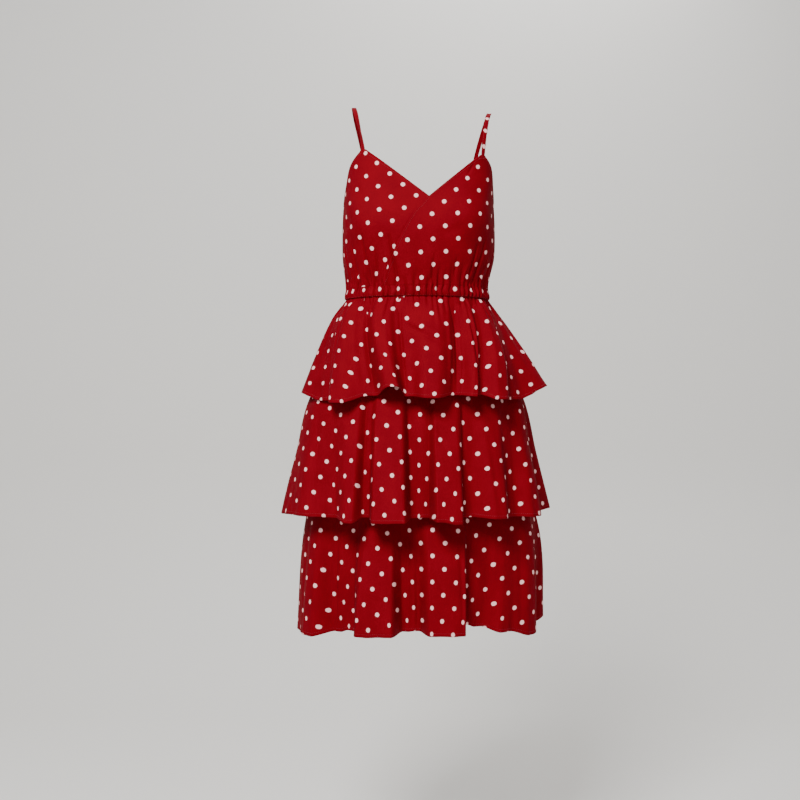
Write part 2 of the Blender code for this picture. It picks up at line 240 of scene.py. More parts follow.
def add_node(
    tree: bpy.types.NodeTree,
    kind: str,
    settings: dict[str, object] | None = None,
    inputs: dict[str | int, object] | None = None,
) -> bpy.types.Node:
    """Add a node, set its properties, and set or link its inputs.

    Args:
        tree: the tree that gets the node.
        kind: the node's type name.
        settings: property names and their values.
        inputs: input names or numbers, each with a value or an output socket to link from.

    Returns:
        The new node.
    """
    node = tree.nodes.new(kind)
    for name, value in (settings or {}).items():
        setattr(node, name, value)
    for name, value in (inputs or {}).items():
        if isinstance(value, bpy.types.NodeSocket):
            tree.links.new(value, node.inputs[name])
        else:
            node.inputs[name].default_value = value
    return node


def add_object(name: str, data: bpy.types.ID) -> bpy.types.Object:
    """Add an object to the scene."""
    added = bpy.data.objects.new(name, data)
    bpy.context.scene.collection.objects.link(added)
    return added


def clamped(share: np.ndarray | float) -> np.ndarray | float:
    """Return a share held between 0 and 1."""
    return np.clip(share, 0.0, 1.0)


def eased(share: np.ndarray | float) -> np.ndarray | float:
    """Return a share that starts and ends gently."""
    return 0.5 - 0.5 * np.cos(np.pi * share)


def bell(distance: np.ndarray, spread: float | np.ndarray) -> np.ndarray:
    """Return 1 at no distance, and fall away over the spread."""
    return np.exp(-((distance / spread) ** 2))


def turned(angle: np.ndarray, centre: float | np.ndarray) -> np.ndarray:
    """Return the difference of two angles, between -180 and 180 degrees."""
    return (angle - centre + 180.0) % 360.0 - 180.0


def run_along(points: np.ndarray) -> np.ndarray:
    """Return how far along its line each point lies, where lines run along the first axis."""
    steps = np.linalg.norm(np.diff(points, axis=0), axis=-1)
    return np.concatenate([np.zeros_like(steps[:1]), np.cumsum(steps, axis=0)])


def read_table(rows: Sequence[tuple], keys: np.ndarray) -> np.ndarray:
    """Read a table at values of its first column, on a smooth curve through its rows.

    Args:
        rows: the table, each row starting with its key.
        keys: where to read it, of any shape.

    Returns:
        The other columns at each key, along a last axis of their own.
    """
    table = np.array(sorted(tuple(row) for row in rows), dtype=float)
    keys = np.clip(np.asarray(keys, dtype=float), table[0, 0], table[-1, 0])
    last = len(table) - 1
    index = np.clip(np.searchsorted(table[:, 0], keys, side="right") - 1, 0, last - 1)
    here, after = table[index], table[index + 1]
    before, beyond = table[np.maximum(index - 1, 0)], table[np.minimum(index + 2, last)]
    span = after[..., :1] - here[..., :1]
    share = (keys[..., None] - here[..., :1]) / span
    slope_here = (after - before) / (after[..., :1] - before[..., :1]) * span
    slope_after = (beyond - here) / (beyond[..., :1] - here[..., :1]) * span
    read = (
        (2 * share ** 3 - 3 * share ** 2 + 1) * here
        + (3 * share ** 2 - 2 * share ** 3) * after
        + (share ** 3 - 2 * share ** 2 + share) * slope_here
        + (share ** 3 - share ** 2) * slope_after
    )
    return read[..., 1:]


def push_out(
    outline: np.ndarray,
    angle: np.ndarray,
    height: np.ndarray,
    out: np.ndarray,
    along: np.ndarray | float = 0.0,
) -> np.ndarray:
    """Place points that stand out from level outlines.

    Args:
        outline: left, right, front, back and squareness along the last axis.
        angle: the angle of each point.
        height: the height of each point.
        out: how far each point stands out from its outline.
        along: how far each point is moved along its outline.

    Returns:
        The points, with x, y and z along the last axis.
    """
    left, right, front, back, squareness = np.moveaxis(outline, -1, 0)
    across, ahead = np.sin(np.radians(angle)), np.cos(np.radians(angle))
    half_width = np.where(across > 0, right, left)
    depth = np.where(ahead > 0, front, back)
    bend = 2.0 / squareness
    x = half_width * np.sign(across) * np.abs(across) ** bend
    y = -depth * np.sign(ahead) * np.abs(ahead) ** bend
    steep = squareness - 1.0
    normal_x = np.sign(x) * (np.abs(x) / half_width) ** steep / half_width
    normal_y = np.sign(y) * (np.abs(y) / depth) ** steep / depth
    size = np.hypot(normal_x, normal_y)
    normal_x, normal_y = normal_x / size, normal_y / size
    moved_x = x + normal_x * out - normal_y * along
    moved_y = y + normal_y * out + normal_x * along
    return np.stack([moved_x, moved_y, np.broadcast_to(height, moved_x.shape)], axis=-1)


def crease_relief(
    creases: Sequence[CreaseRow],
    angle: np.ndarray,
    place: np.ndarray,
    degree: np.ndarray | float,
    unit: float,
) -> np.ndarray:
    """Work out how far creases raise the cloth.

    Args:
        creases: the creases, as listed.
        angle: the angle of each point of the cloth.
        place: the height or share of each point, as the creases give theirs.
        degree: how many millimetres of cloth one degree is.
        unit: how many millimetres one unit of place is.

    Returns:
        The rise of each point in millimetres.
    """
    rise = np.zeros(np.broadcast(angle, place).shape)
    for row in creases:
        run_x = turned(np.array(row.end_angle), row.start_angle) * degree
        run_y = (row.end_place - row.start_place) * unit
        to_x = turned(angle, row.start_angle) * degree
        to_y = (place - row.start_place) * unit
        length = np.hypot(run_x, run_y)
        share = clamped((to_x * run_x + to_y * run_y) / length ** 2)
        away = np.hypot(to_x - share * run_x, to_y - share * run_y)
        swell = 0.25 + 0.75 * np.sin(np.pi * share) ** 0.7
        rise += row.rise * bell(away, row.width) * swell
    return rise


def gather_relief(angle: np.ndarray, rise: np.ndarray | float) -> np.ndarray:
    """Return how deep the bodice's gathers draw it in, at a height above the top of the casing."""
    out = np.zeros(np.broadcast(angle, rise).shape)
    for row in BODICE_GATHERS:
        share = clamped(rise / row.reach)
        turn = turned(angle, row.angle + row.lean * share)
        out -= row.depth * bell(turn, row.width) * (1.0 - eased(share))
    return out


@dataclass(frozen=True)
class Puckers:
    """The small gathers that the waist elastic draws up, the same ones above and below the casing.

    Fields: their number, their greatest depth and reach in millimetres, and the seed of their unevenness.
    """

    count: int = 76
    depth: float = 5.0
    reach: float = 60.0
    seed: int = 7

    def grooves(self, angle: np.ndarray, distance: np.ndarray, reach: float = 1.0) -> np.ndarray:
        """Return how deep the puckers draw the cloth in.

        Args:
            angle: the angle of each point.
            distance: how far the point is from the casing, in millimetres.
            reach: how far the puckers run, as a share of their own reach.

        Returns:
            The depth at each point, 0 or less.
        """
        random = np.random.default_rng(self.seed)
        pitch = 360.0 / self.count
        places = (np.arange(self.count) + random.uniform(-0.26, 0.26, self.count)) * pitch
        widths = pitch * random.uniform(0.17, 0.30, self.count)
        depths = self.depth * random.uniform(0.45, 1.15, self.count)
        reaches = self.reach * (0.16 + 0.84 * random.beta(1.2, 2.4, self.count)) * reach
        drift = random.uniform(-0.5, 0.5, self.count) * pitch
        depth = np.zeros(np.broadcast(angle, distance).shape)
        for place, width, deep, run, lean in zip(places, widths, depths, reaches, drift):
            share = clamped(distance / run)
            groove = bell(turned(angle, place + lean * share), width * (1.0 + 0.9 * share))
            depth -= deep * groove * (1.0 - eased(share))
        return depth


def soft_unevenness(angle: np.ndarray, height: np.ndarray, size: float, seed: int) -> np.ndarray:
    """Return a slow, shallow unevenness of hanging cloth, the same on each run.

    Args:
        angle: the angle of each point.
        height: the height of each point in millimetres.
        size: the greatest rise in millimetres.
        seed: the seed of the waves' directions and phases.

    Returns:
        The rise of each point.
    """
    random = np.random.default_rng(seed)
    waves = 9
    rounds = random.integers(3, 15, waves)
    climbs = random.uniform(0.008, 0.045, waves) * random.choice([-1.0, 1.0], waves)
    phases = random.uniform(0.0, 2.0 * np.pi, waves)
    total = np.zeros(np.broadcast(angle, height).shape)
    for around, climb, phase in zip(rounds, climbs, phases):
        total += np.sin(np.radians(angle) * around + height * climb + phase)
    return total * size / waves


@dataclass
class ClothGrid:
    """A piece of cloth as rows of points, with the place of each point on the flat cut.

    Fields: points in millimetres (rows, columns, 3); flat places in millimetres (rows, columns, 2), with one
    more column on a closed ring, where the cut's two ends meet; whether the rows close to rings; and how the
    cut lies on the printed cloth, as a turn in degrees and a shift in millimetres.
    """

    points: np.ndarray
    flat: np.ndarray
    closed: bool
    grain: float = 0.0
    grain_shift: tuple[float, float] = (0.0, 0.0)

    def quads(self) -> tuple[np.ndarray, np.ndarray]:
        """Return the corners of each face in the points, and in the flat places."""
        rows, columns = self.points.shape[:2]
        wide = columns if self.closed else columns - 1
        row, column = np.meshgrid(np.arange(rows - 1), np.arange(wide), indexing="ij")

        def corners(width: int, after: np.ndarray) -> np.ndarray:
            """Return the corners of each face, where a row is this wide."""
            here, above = row * width, (row + 1) * width
            faces = np.stack([here + column, here + after, above + after, above + column], axis=-1)
            return faces.reshape(-1, 4)

        return corners(columns, (column + 1) % columns), corners(self.flat.shape[1], column + 1)

    def to_mesh(self, name: str) -> bpy.types.Mesh:
        """Make a mesh in metres, with the cut as it lies on the printed cloth in metres as its UV map."""
        corners, flat_corners = self.quads()
        mesh = bpy.data.meshes.new(name)
        mesh.from_pydata((self.points.reshape(-1, 3) * MM).tolist(), [], corners.tolist())
        layer = mesh.uv_layers.new(name="cut")
        cosine, sine = math.cos(math.radians(self.grain)), math.sin(math.radians(self.grain))
        laid = self.flat @ np.array([[cosine, sine], [-sine, cosine]]) + np.array(self.grain_shift)
        places = laid.reshape(-1, 2)[flat_corners.reshape(-1)] * MM
        layer.data.foreach_set("uv", places.astype(np.float32).ravel())
        mesh.shade_smooth()
        mesh.update()
        return mesh

    def cut_area(self) -> float:
        """Return the area in square metres of the flat cut, turnings and all."""
        _, corners = self.quads()
        places = self.flat.reshape(-1, 2) * MM
        first, second, third, fourth = (places[corners[:, index]] for index in range(4))
        one, other = third - first, fourth - second
        return float(np.abs(one[:, 0] * other[:, 1] - one[:, 1] * other[:, 0]).sum() / 2.0)

    def flat_size(self) -> tuple[float, float]:
        """Return the width and length in metres of the rectangle that the flat cut needs."""
        low, high = self.flat.reshape(-1, 2).min(axis=0), self.flat.reshape(-1, 2).max(axis=0)
        width, length = (high - low) * MM
        return float(width), float(length)


@dataclass(frozen=True)
class Finish:
    """A finish: its material's name, its colour as sRGB hex, and how matt it is."""

    name: str
    colour: str
    roughness: float

    def begin(self) -> tuple[bpy.types.Material, bpy.types.NodeTree, bpy.types.Node]:
        """Begin the material, and return it with its nodes and its surface."""
        material = bpy.data.materials.new(self.name)
        material.use_nodes = True
        surface = material.node_tree.nodes["Principled BSDF"]
        surface.inputs["Base Color"].default_value = to_linear(self.colour)
        surface.inputs["Roughness"].default_value = self.roughness
        return material, material.node_tree, surface

    def roughen(self, surface: bpy.types.Node, noise: bpy.types.Node, strength: float, depth: float) -> None:
        """Let a noise roughen the surface, to a depth in millimetres."""
        tree = surface.id_data
        bump = add_node(tree, "ShaderNodeBump", inputs={
            "Height": noise.outputs["Fac"], "Strength": strength, "Distance": depth * MM,
        })
        tree.links.new(bump.outputs["Normal"], surface.inputs["Normal"])

    def mottled(self, scale: float, detail: float, strength: float, depth: float) -> bpy.types.Material:
        """Build a material of one colour, roughened on Object coordinates.

        Args:
            scale: how fine the noise is, to the metre.
            detail: how much finer detail it has.
            strength: the bump's strength.
            depth: the bump's depth in millimetres.

        Returns:
            The material.
        """
        material, tree, surface = self.begin()
        place = add_node(tree, "ShaderNodeTexCoord")
        noise = add_node(tree, "ShaderNodeTexNoise", inputs={
            "Vector": place.outputs["Object"], "Scale": scale, "Detail": detail,
        })
        self.roughen(surface, noise, strength, depth)
        return material


@dataclass(frozen=True)
class DottedCrepe(Finish):
    """Viscose crepe, piece dyed crimson and printed with a small white spot.

    Crepe is woven from hard twisted threads that shrink unevenly, so it is matt and pebbled, with no clear
    weave. The print sits on the surface, so the spots show the same pebble.

    Fields: colours as sRGB hex, sizes in millimetres, and the weak gloss of the hard twisted threads.
    """

    name: str = "viscose_crepe_printed_spot"
    colour: str = "#7A0314"
    roughness: float = 0.86
    deep_colour: str = "#6A0210"
    spot: str = "#FFC4C2"
    spot_width: float = 7.4
    spot_spacing: float = 30.5
    # The spots' edges bleed unevenly into the crepe, by this share of their spacing
    bleed: float = 0.035
    bleed_grain: float = 2.0
    dye_cloud: float = 45.0
    # A crepe's pebble is about 0.6 mm; it is drawn at 1.5 mm so that it shows in the render
    pebble: float = 1.5
    gloss: float = 0.06

    def build(self) -> bpy.types.Material:
        """Build the material on the cut's own UV map, in metres."""
        material, tree, surface = self.begin()
        cut = add_node(tree, "ShaderNodeUVMap", {"uv_map": "cut"}).outputs["UV"]
        lattice = add_node(tree, "ShaderNodeMapping", inputs={
            "Vector": cut,
            "Rotation": (0.0, 0.0, math.radians(45.0)),
            "Scale": (1.0 / (self.spot_spacing * MM),) * 3,
        })
        place = lattice.outputs["Vector"]
        # From the middle of its square of the lattice to each place, in the plane of the cut
        for operation, *value in (
            ("FRACTION",), ("SUBTRACT", (0.5, 0.5, 0.0)), ("MULTIPLY", (1.0, 1.0, 0.0)),
        ):
            inputs = dict(enumerate([place, *value]))
            place = add_node(tree, "ShaderNodeVectorMath", {"operation": operation}, inputs).outputs["Vector"]
        reach = add_node(tree, "ShaderNodeVectorMath", {"operation": "LENGTH"}, {0: place})
        fray, dye, pebble = (
            add_node(tree, "ShaderNodeTexNoise", {"noise_dimensions": "2D"}, {
                "Vector": cut, "Scale": 1.0 / (size * MM), "Detail": detail, "Roughness": roughness,
            })
            for size, detail, roughness in (
                (self.bleed_grain, 2.0, 0.5), (self.dye_cloud, 3.0, 0.5), (self.pebble, 4.0, 0.65),
            )
        )
        ragged = add_node(tree, "ShaderNodeMath", {"operation": "MULTIPLY_ADD"}, {
            0: fray.outputs["Fac"], 1: self.bleed, 2: reach.outputs["Value"],
        })
        edge = self.spot_width / self.spot_spacing / 2.0 + self.bleed / 2.0
        softness = 0.012
        print_mask = add_node(tree, "ShaderNodeMapRange", {"interpolation_type": "SMOOTHSTEP"}, {
            "Value": ragged.outputs["Value"],
            "From Min": edge - softness,
            "From Max": edge + softness,
            "To Min": 1.0,
            "To Max": 0.0,
        })
        ground = add_node(tree, "ShaderNodeMix", {"data_type": "RGBA"}, {
            0: dye.outputs["Fac"], 6: to_linear(self.deep_colour), 7: to_linear(self.colour),
        })
        printed = add_node(tree, "ShaderNodeMix", {"data_type": "RGBA"}, {
            0: print_mask.outputs["Result"], 6: ground.outputs[2], 7: to_linear(self.spot),
        })
        tree.links.new(printed.outputs[2], surface.inputs["Base Color"])
        self.roughen(surface, pebble, 0.35, 0.25)
        surface.inputs["Specular IOR Level"].default_value = self.gloss
        return material


@dataclass(frozen=True)
class SewingThread(Finish):
    """Spun polyester sewing thread, dyed to match: matt, with a faint twist, whose size is in millimetres."""

    name: str = "polyester_sewing_thread"
    colour: str = "#7E0812"
    roughness: float = 0.7
    twist: float = 0.6

    def build(self) -> bpy.types.Material:
        """Build the material, with the thread's twist as bump."""
        return self.mottled(1.0 / (self.twist * MM), 1.0, 0.4, 0.1)


@dataclass(frozen=True)
class StudioPaint(Finish):
    """Matt emulsion on the studio's floor and back wall, rolled on, nearly even."""

    name: str = "studio_emulsion"
    colour: str = "#E9E7E3"
    roughness: float = 0.9

    def build(self) -> bpy.types.Material:
        """Build the material with the faint mottle of a rolled coat."""
        return self.mottled(40.0, 2.0, 0.05, 1.0)


@dataclass(frozen=True)
class Finishes:
    """The built finishes that the pieces share."""

    crepe: bpy.types.Material
    thread: bpy.types.Material


@dataclass(frozen=True)
class StitchTree:
    """The Geometry Nodes that lay machine stitches along lines.

    Fields: the pitch of the stitches, their length and the thread's width, in millimetres.
    """

    pitch: float = 3.4
    length: float = 2.6
    thread: float = 0.45

    def build(self) -> bpy.types.NodeTree:
        """Build the tree, with named inputs for its sizes."""
        tree = bpy.data.node_groups.new("machine_stitches", "GeometryNodeTree")
        face = tree.interface
        face.new_socket("Geometry", in_out="INPUT", socket_type="NodeSocketGeometry")
        for name in ("Pitch", "Stitch Length", "Thread Width"):
            face.new_socket(name, in_out="INPUT", socket_type="NodeSocketFloat")
        face.new_socket("Thread", in_out="INPUT", socket_type="NodeSocketMaterial")
        face.new_socket("Geometry", in_out="OUTPUT", socket_type="NodeSocketGeometry")
        start = add_node(tree, "NodeGroupInput").outputs
        lines = add_node(tree, "GeometryNodeMeshToCurve", inputs={"Mesh": start["Geometry"]})
        points = add_node(tree, "GeometryNodeCurveToPoints", {"mode": "LENGTH"}, {
            "Curve": lines.outputs["Curve"], "Length": start["Pitch"],
        })
        stitch = add_node(tree, "GeometryNodeMeshUVSphere", inputs={"Segments": 6, "Rings": 4, "Radius": 0.5})
        size = add_node(tree, "ShaderNodeCombineXYZ", inputs={
            "X": start["Thread Width"], "Y": start["Thread Width"], "Z": start["Stitch Length"],
        })
        row = add_node(tree, "GeometryNodeInstanceOnPoints", inputs={
            "Points": points.outputs["Points"],
            "Instance": stitch.outputs["Mesh"],
            "Rotation": points.outputs["Rotation"],
            "Scale": size.outputs["Vector"],
        })
        real = add_node(tree, "GeometryNodeRealizeInstances", inputs={"Geometry": row.outputs["Instances"]})
        finish = add_node(tree, "GeometryNodeSetMaterial", inputs={
            "Geometry": real.outputs["Geometry"], "Material": start["Thread"],
        })
        add_node(tree, "NodeGroupOutput", inputs={"Geometry": finish.outputs["Geometry"]})
        return tree

    def sew(
        self,
        name: str,
        lines: Sequence[np.ndarray],
        tree: bpy.types.NodeTree,
        thread: bpy.types.Material,
    ) -> bpy.types.Object:
        """Lay stitches along lines and return them as one plain mesh.

        Args:
            name: the new piece's name.
            lines: points of each line in millimetres.
            tree: the stitch tree.
            thread: the thread's material.

        Returns:
            The stitches, as an object at the origin.
        """
        points: list[list[float]] = []
        edges: list[tuple[int, int]] = []
        for line in lines:
            first = len(points)
            points.extend((line * MM).tolist())
            edges.extend((first + index, first + index + 1) for index in range(len(line) - 1))
        mesh = bpy.data.meshes.new(name)
        mesh.from_pydata(points, edges, [])
        piece = add_object(name, mesh)
        modifier = piece.modifiers.new("stitches", "NODES")
        modifier.node_group = tree
        values = {
            "Pitch": self.pitch * MM,
            "Stitch Length": self.length * MM,
            "Thread Width": self.thread * MM,
            "Thread": thread,
        }
        for socket in tree.interface.items_tree:
            if socket.in_out == "INPUT" and socket.name in values:
                modifier[socket.identifier] = values[socket.name]
        piece.update_tag()
        depsgraph = bpy.context.evaluated_depsgraph_get()
        sewn = bpy.data.meshes.new_from_object(piece.evaluated_get(depsgraph), depsgraph=depsgraph)
        piece.modifiers.clear()
        piece.data = sewn
        sewn.name = name
        sewn.shade_smooth()
        return piece


@dataclass
class ClothPiece:
    """A sewn piece of cloth that stands for one node of the frame.

    Fields: the node's name, its slot, how it is carried and by what, its thickness, and the built object.
    """

    node: str
    slot: Slot = Slot.CREPE
    held: Held = Held.HUNG
    rests_on: tuple[str, ...] = ()
    shell: float = SHELL
    cloth: bpy.types.Object | None = None

    def grid(self) -> ClothGrid:
        """Return the piece's points and flat cut."""
        raise NotImplementedError

    def stitch_lines(self) -> list[np.ndarray]:
        """Return the lines of stitches that show on the piece."""
        return []

    def build(self) -> ClothGrid:
        """Build the cloth as a thin shell."""
        grid = self.grid()
        name = self.node + "_cloth"
        self.cloth = add_object(name, grid.to_mesh(name))
        wall = self.cloth.modifiers.new("wall", "SOLIDIFY")
        wall.thickness = self.shell * MM
        wall.offset = 0.0
        return grid

    def dress(self, finishes: Finishes, stitches: StitchTree, tree: bpy.types.NodeTree) -> None:
        """Args:
            finishes: the shared materials.
            stitches: the sizes of the stitches.
            tree: the stitch tree.
        """
        grid = self.build()
        self.cloth.data.materials.append(finishes.crepe)
        lines = self.stitch_lines()
        if lines:
            sewing = stitches.sew(self.node + "_stitches", lines, tree, finishes.thread)
            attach(sewing, "root")
        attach(self.cloth, "root")
        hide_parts(self.node)
        width, length = grid.flat_size()
        area = grid.cut_area()
        LOG.info("%s: cut %.0f x %.0f mm, %.3f m2", self.node, width / MM, length / MM, area)


def measure_across(
    relief: Callable[[np.ndarray, np.ndarray], np.ndarray],
    angle: np.ndarray,
    height: np.ndarray,
    middle_angle: float,
) -> np.ndarray:
    """Measure how much cloth lies between the middle of a bodice piece and its points, along its gathers.

    Args:
        relief: how far the cloth stands out from its form at an angle and a height.
        angle: the angle of each point.
        height: the height of each point.
        middle_angle: the angle of the piece's middle.

    Returns:
        The length of cloth to each point in millimetres, which at the middle is that of the plain form.
    """
    # The lengths are worked out on a chart of a quarter of a degree by 4 mm, over the bodice and past it
    steps = np.linspace(-180.0, 360.0, 2161)
    levels = np.linspace(-345.0, -60.0, 72)
    step_grid, level_grid = np.meshgrid(steps, levels)
    outline = read_table(BODICE_FORMS, level_grid)
    laid = push_out(outline, step_grid, level_grid, relief(step_grid, level_grid))[..., :2]
    run = run_along(laid.swapaxes(0, 1)).T
    front, middle = (int(round((place - steps[0]) / (steps[1] - steps[0]))) for place in (0.0, middle_angle))
    run += run[-1, middle] - run[-1, front] - run[:, middle:middle + 1]

    def cell(place: np.ndarray, marks: np.ndarray) -> tuple[np.ndarray, np.ndarray]:
        """Return the cell between even marks that holds each place, and the share of the way through it."""
        share = np.clip((place - marks[0]) / (marks[1] - marks[0]), 0.0, len(marks) - 1.001)
        first = share.astype(int)
        return first, share - first

    (low, up), (first, on) = cell(height, levels), cell(angle, steps)
    lower, upper = (
        run[level, first] * (1 - on) + run[level, first + 1] * on for level in (low, low + 1)
    )
    return lower * (1 - up) + upper * up


def path_with_turnings(
    count: int,
    turned_share: float,
    start: bool,
    hidden_start: float = 0.0,
) -> tuple[np.ndarray, np.ndarray, np.ndarray]:
    """Lay out the rows or columns of a sheet whose last edge is turned to the inside, and perhaps its first.

    Args:
        count: how many steps there are between the edges.
        turned_share: how wide a turning is, as a share of the sheet.
        start: whether the first edge is turned.
        hidden_start: how far the first edge runs on, drawn in behind its neighbour.

    Returns:
        The share of each row or column, its lift off the sheet in millimetres, and its share on the flat
        cut, where the turnings lie outside the edges.
    """
    # From the raw edge to the fold, the rows of a turning, and how far each lies behind the sheet
    fold = turned_share * np.array([1.0, 0.5, 0.05, 0.0])
    behind = -TURNING * np.array([1.0, 1.0, 0.9, 0.45])
    tuck = fold[2]
    shares = np.linspace(0.0, 1.0, count + 1)[:-1]
    lifts, cuts = np.zeros(count), shares
    if start:
        shares = np.concatenate([fold, [tuck], shares[1:]])
        lifts = np.concatenate([behind, [0.0], lifts[1:]])
        cuts = np.concatenate([-fold, [tuck], cuts[1:]])
    if hidden_start:
        hidden = -hidden_start * np.array([1.0, 0.5])
        shares, cuts = np.append(hidden, shares), np.append(hidden, cuts)
        lifts = np.append(-TURNING * np.array([1.5, 1.0]), lifts)
    shares = np.concatenate([shares, [1.0 - tuck], 1.0 - fold[::-1]])
    lifts = np.concatenate([lifts, [0.0], behind[::-1]])
    cuts = np.concatenate([cuts, [1.0 - tuck], 1.0 + fold[::-1]])
    return shares, lifts, cuts


@dataclass
class BodicePiece(ClothPiece):
    """A piece of the bodice, on the form that the worn dress is filled out to.

    Fields: the puckers at the casing, the creases, the turn and shift of the grain, the angle from which the
    print is measured, the mesh's columns and rows, and how much of its width, its height and its foot is
    turned or sewn in, as shares.
    """

    held: Held = Held.GATHERED
    rests_on: tuple[str, ...] = ("waist_casing",)
    puckers: Puckers = field(default_factory=Puckers)
    creases: tuple[CreaseRow, ...] = ()
    grain: float = 0.0
    grain_shift: tuple[float, float] = (0.0, 0.0)
    middle_angle: float = 0.0
    columns: int = 170
    rows: int = 100
    turned_sides: float = 0.03
    turned_top: float = 0.03
    sewn_foot: float = 0.012

    def at(self, across: np.ndarray, up: np.ndarray, lift: np.ndarray | float) -> tuple[np.ndarray, ...]:
        """Return points, angles and heights at shares of the piece's width and height."""
        raise NotImplementedError

    def broad_relief(self, angle: np.ndarray, height: np.ndarray) -> np.ndarray:
        """Return how far the cloth stands out from its form in its fullness, gathers and creases."""
        out = np.zeros(np.broadcast(angle, height).shape)
        for row in BUST_FULLNESS:
            turn = turned(angle, row.angle)
            out += row.out * bell(turn, row.angle_spread) * bell(height - row.height, row.height_spread)
        out += gather_relief(angle, np.maximum(height - CASING_TOP_HEIGHT, 0.0))
        out += crease_relief(self.creases, angle, height, BODICE_DEGREE, 1.0)
        return out

    def relief(self, angle: np.ndarray, height: np.ndarray) -> np.ndarray:
        """Return how far the cloth stands out from its form, with its small puckers and side seams."""
        rise = np.maximum(height - CASING_TOP_HEIGHT, 0.0)
        out = self.broad_relief(angle, height) + self.puckers.grooves(angle, rise)
        out += soft_unevenness(angle, height, 1.2, 11) * clamped(rise / 20.0)
        for side in (-90.0, 90.0):
            out -= 0.7 * bell(turned(angle, side) * BODICE_DEGREE, 2.0)
        return out

    def place(
        self,
        angle: np.ndarray,
        top_height: np.ndarray,
        up: np.ndarray,
        lift: np.ndarray | float,
        forward: float,
    ) -> tuple[np.ndarray, ...]:
        """Place points of the piece between the casing and its upper edge.

        Args:
            angle: the angle of each point.
            top_height: the height of the upper edge over or under each point.
            up: the share of the way up to that edge.
            lift: how far each point stands off the cloth.
            forward: how far the piece is shifted to the front, to clear its neighbour at the side seams.

        Returns:
            The points, their angles and their heights.
        """
        height = CASING_TOP_HEIGHT + (top_height - CASING_TOP_HEIGHT) * up
        points = push_out(read_table(BODICE_FORMS, height), angle, height, self.relief(angle, height) + lift)
        points[..., 1] -= forward
        return points, angle, height

    def grid(self) -> ClothGrid:
        """Return the piece's points, with its sides and its upper edge turned in."""
        across, side_lift, across_cut = path_with_turnings(self.columns, self.turned_sides, True)
        up, top_lift, up_cut = path_with_turnings(self.rows, self.turned_top, False, self.sewn_foot)
        points, _, _ = self.at(*np.meshgrid(across, up), side_lift[None, :] + top_lift[:, None])
        _, angle, height = self.at(*np.meshgrid(across_cut, up_cut), 0.0)
        from_middle = measure_across(self.broad_relief, angle, height, self.middle_angle)
        # The cloth is a little longer than its form is high, because it blouses over the casing
        flat = np.stack([from_middle, height * 1.02], axis=-1)
        return ClothGrid(points, flat, False, self.grain, self.grain_shift)


@dataclass
class FrontPanel(BodicePiece):
    """One front of the bodice, from its crossing edge to its side seam.

    Fields: the rows of its upper edge, where its crossing edge meets the casing, its side seam's angle, and
    how far it lies over the other front.
    """

    edge_rows: tuple[EdgeRow, ...] = ()
    wrap_angle: float = 0.0
    side_angle: float = 90.0
    wrap_lift: float = 0.0

    def upper_edge(self, across: np.ndarray) -> tuple[np.ndarray, np.ndarray]:
        """Return the angle and height of the upper edge at shares of the panel's width."""
        table = np.array(self.edge_rows)
        step = clamped(across) * table[-1, 0]
        armhole = read_table(self.edge_rows[2:], step)
        # The neck edge and the strap's end are straight, up to the third row; the armhole is a curve
        x, height = (
            np.where(step > table[2, 0], armhole[..., column], np.interp(step, table[:, 0], straight))
            for column, straight in enumerate(table[:, 1:].T)
        )
        outline = read_table(BODICE_FORMS, height)
        half_width = np.where(x > 0, outline[..., 1], outline[..., 0])
        share = np.minimum(np.abs(x) / half_width, 1.0) ** (outline[..., 4] / 2.0)
        return np.sign(x) * np.degrees(np.arcsin(share)), height

    def lift_over(self, across: np.ndarray) -> np.ndarray:
        """Return how far the panel lies over the other front, at shares of its width."""
        return self.wrap_lift * (1.0 - eased(clamped((across - 0.5) / 0.5)))

    def at(self, across: np.ndarray, up: np.ndarray, lift: np.ndarray | float) -> tuple[np.ndarray, ...]:
        """Return points, angles and heights at shares of the panel's width and height."""
        top_angle, top_height = self.upper_edge(across)
        foot_angle = self.wrap_angle + (self.side_angle - self.wrap_angle) * across
        angle = foot_angle + (top_angle - foot_angle) * up
        return self.place(angle, top_height, up, self.lift_over(across) + lift, SIDE_SEAM_SHIFT)

    def grid(self) -> ClothGrid:
        """Return the panel's points, in an order that turns its faces outwards."""
        grid = super().grid()
        if self.side_angle < 0.0:
            grid.points, grid.flat = grid.points[:, ::-1], grid.flat[:, ::-1]
        return grid

    def stitch_lines(self) -> list[np.ndarray]:
        """Return the line of stitches beside the crossing, neck and armhole edges."""
        inset = 0.026
        rise = np.linspace(0.02, 1.0 - inset, 90)
        run = np.linspace(inset, 0.995, 160)
        edge, _, _ = self.at(np.full_like(rise, inset), rise, SHELL)
        top, _, _ = self.at(run, np.full_like(run, 1.0 - inset), SHELL)
        return [edge, top]


@dataclass
class BackPanel(BodicePiece):
    """The back of the bodice, whose straight upper edge dips at its ends to meet the front's underarm."""

    def at(self, across: np.ndarray, up: np.ndarray, lift: np.ndarray | float) -> tuple[np.ndarray, ...]:
        """Return points, angles and heights at shares of the panel's width and height."""
        to_side = clamped(np.abs(2.0 * across - 1.0)) ** 6
        top_height = BACK_TOP_HEIGHT + (UNDERARM_HEIGHT - BACK_TOP_HEIGHT) * to_side
        return self.place(90.0 + 180.0 * across, top_height, up, lift, -SIDE_SEAM_SHIFT)

    def stitch_lines(self) -> list[np.ndarray]:
        """Return the line of stitches below the upper edge."""
        run = np.linspace(0.005, 0.995, 160)
        below_edge = 0.967
        top, _, _ = self.at(run, np.full_like(run, below_edge), SHELL)
        return [top]


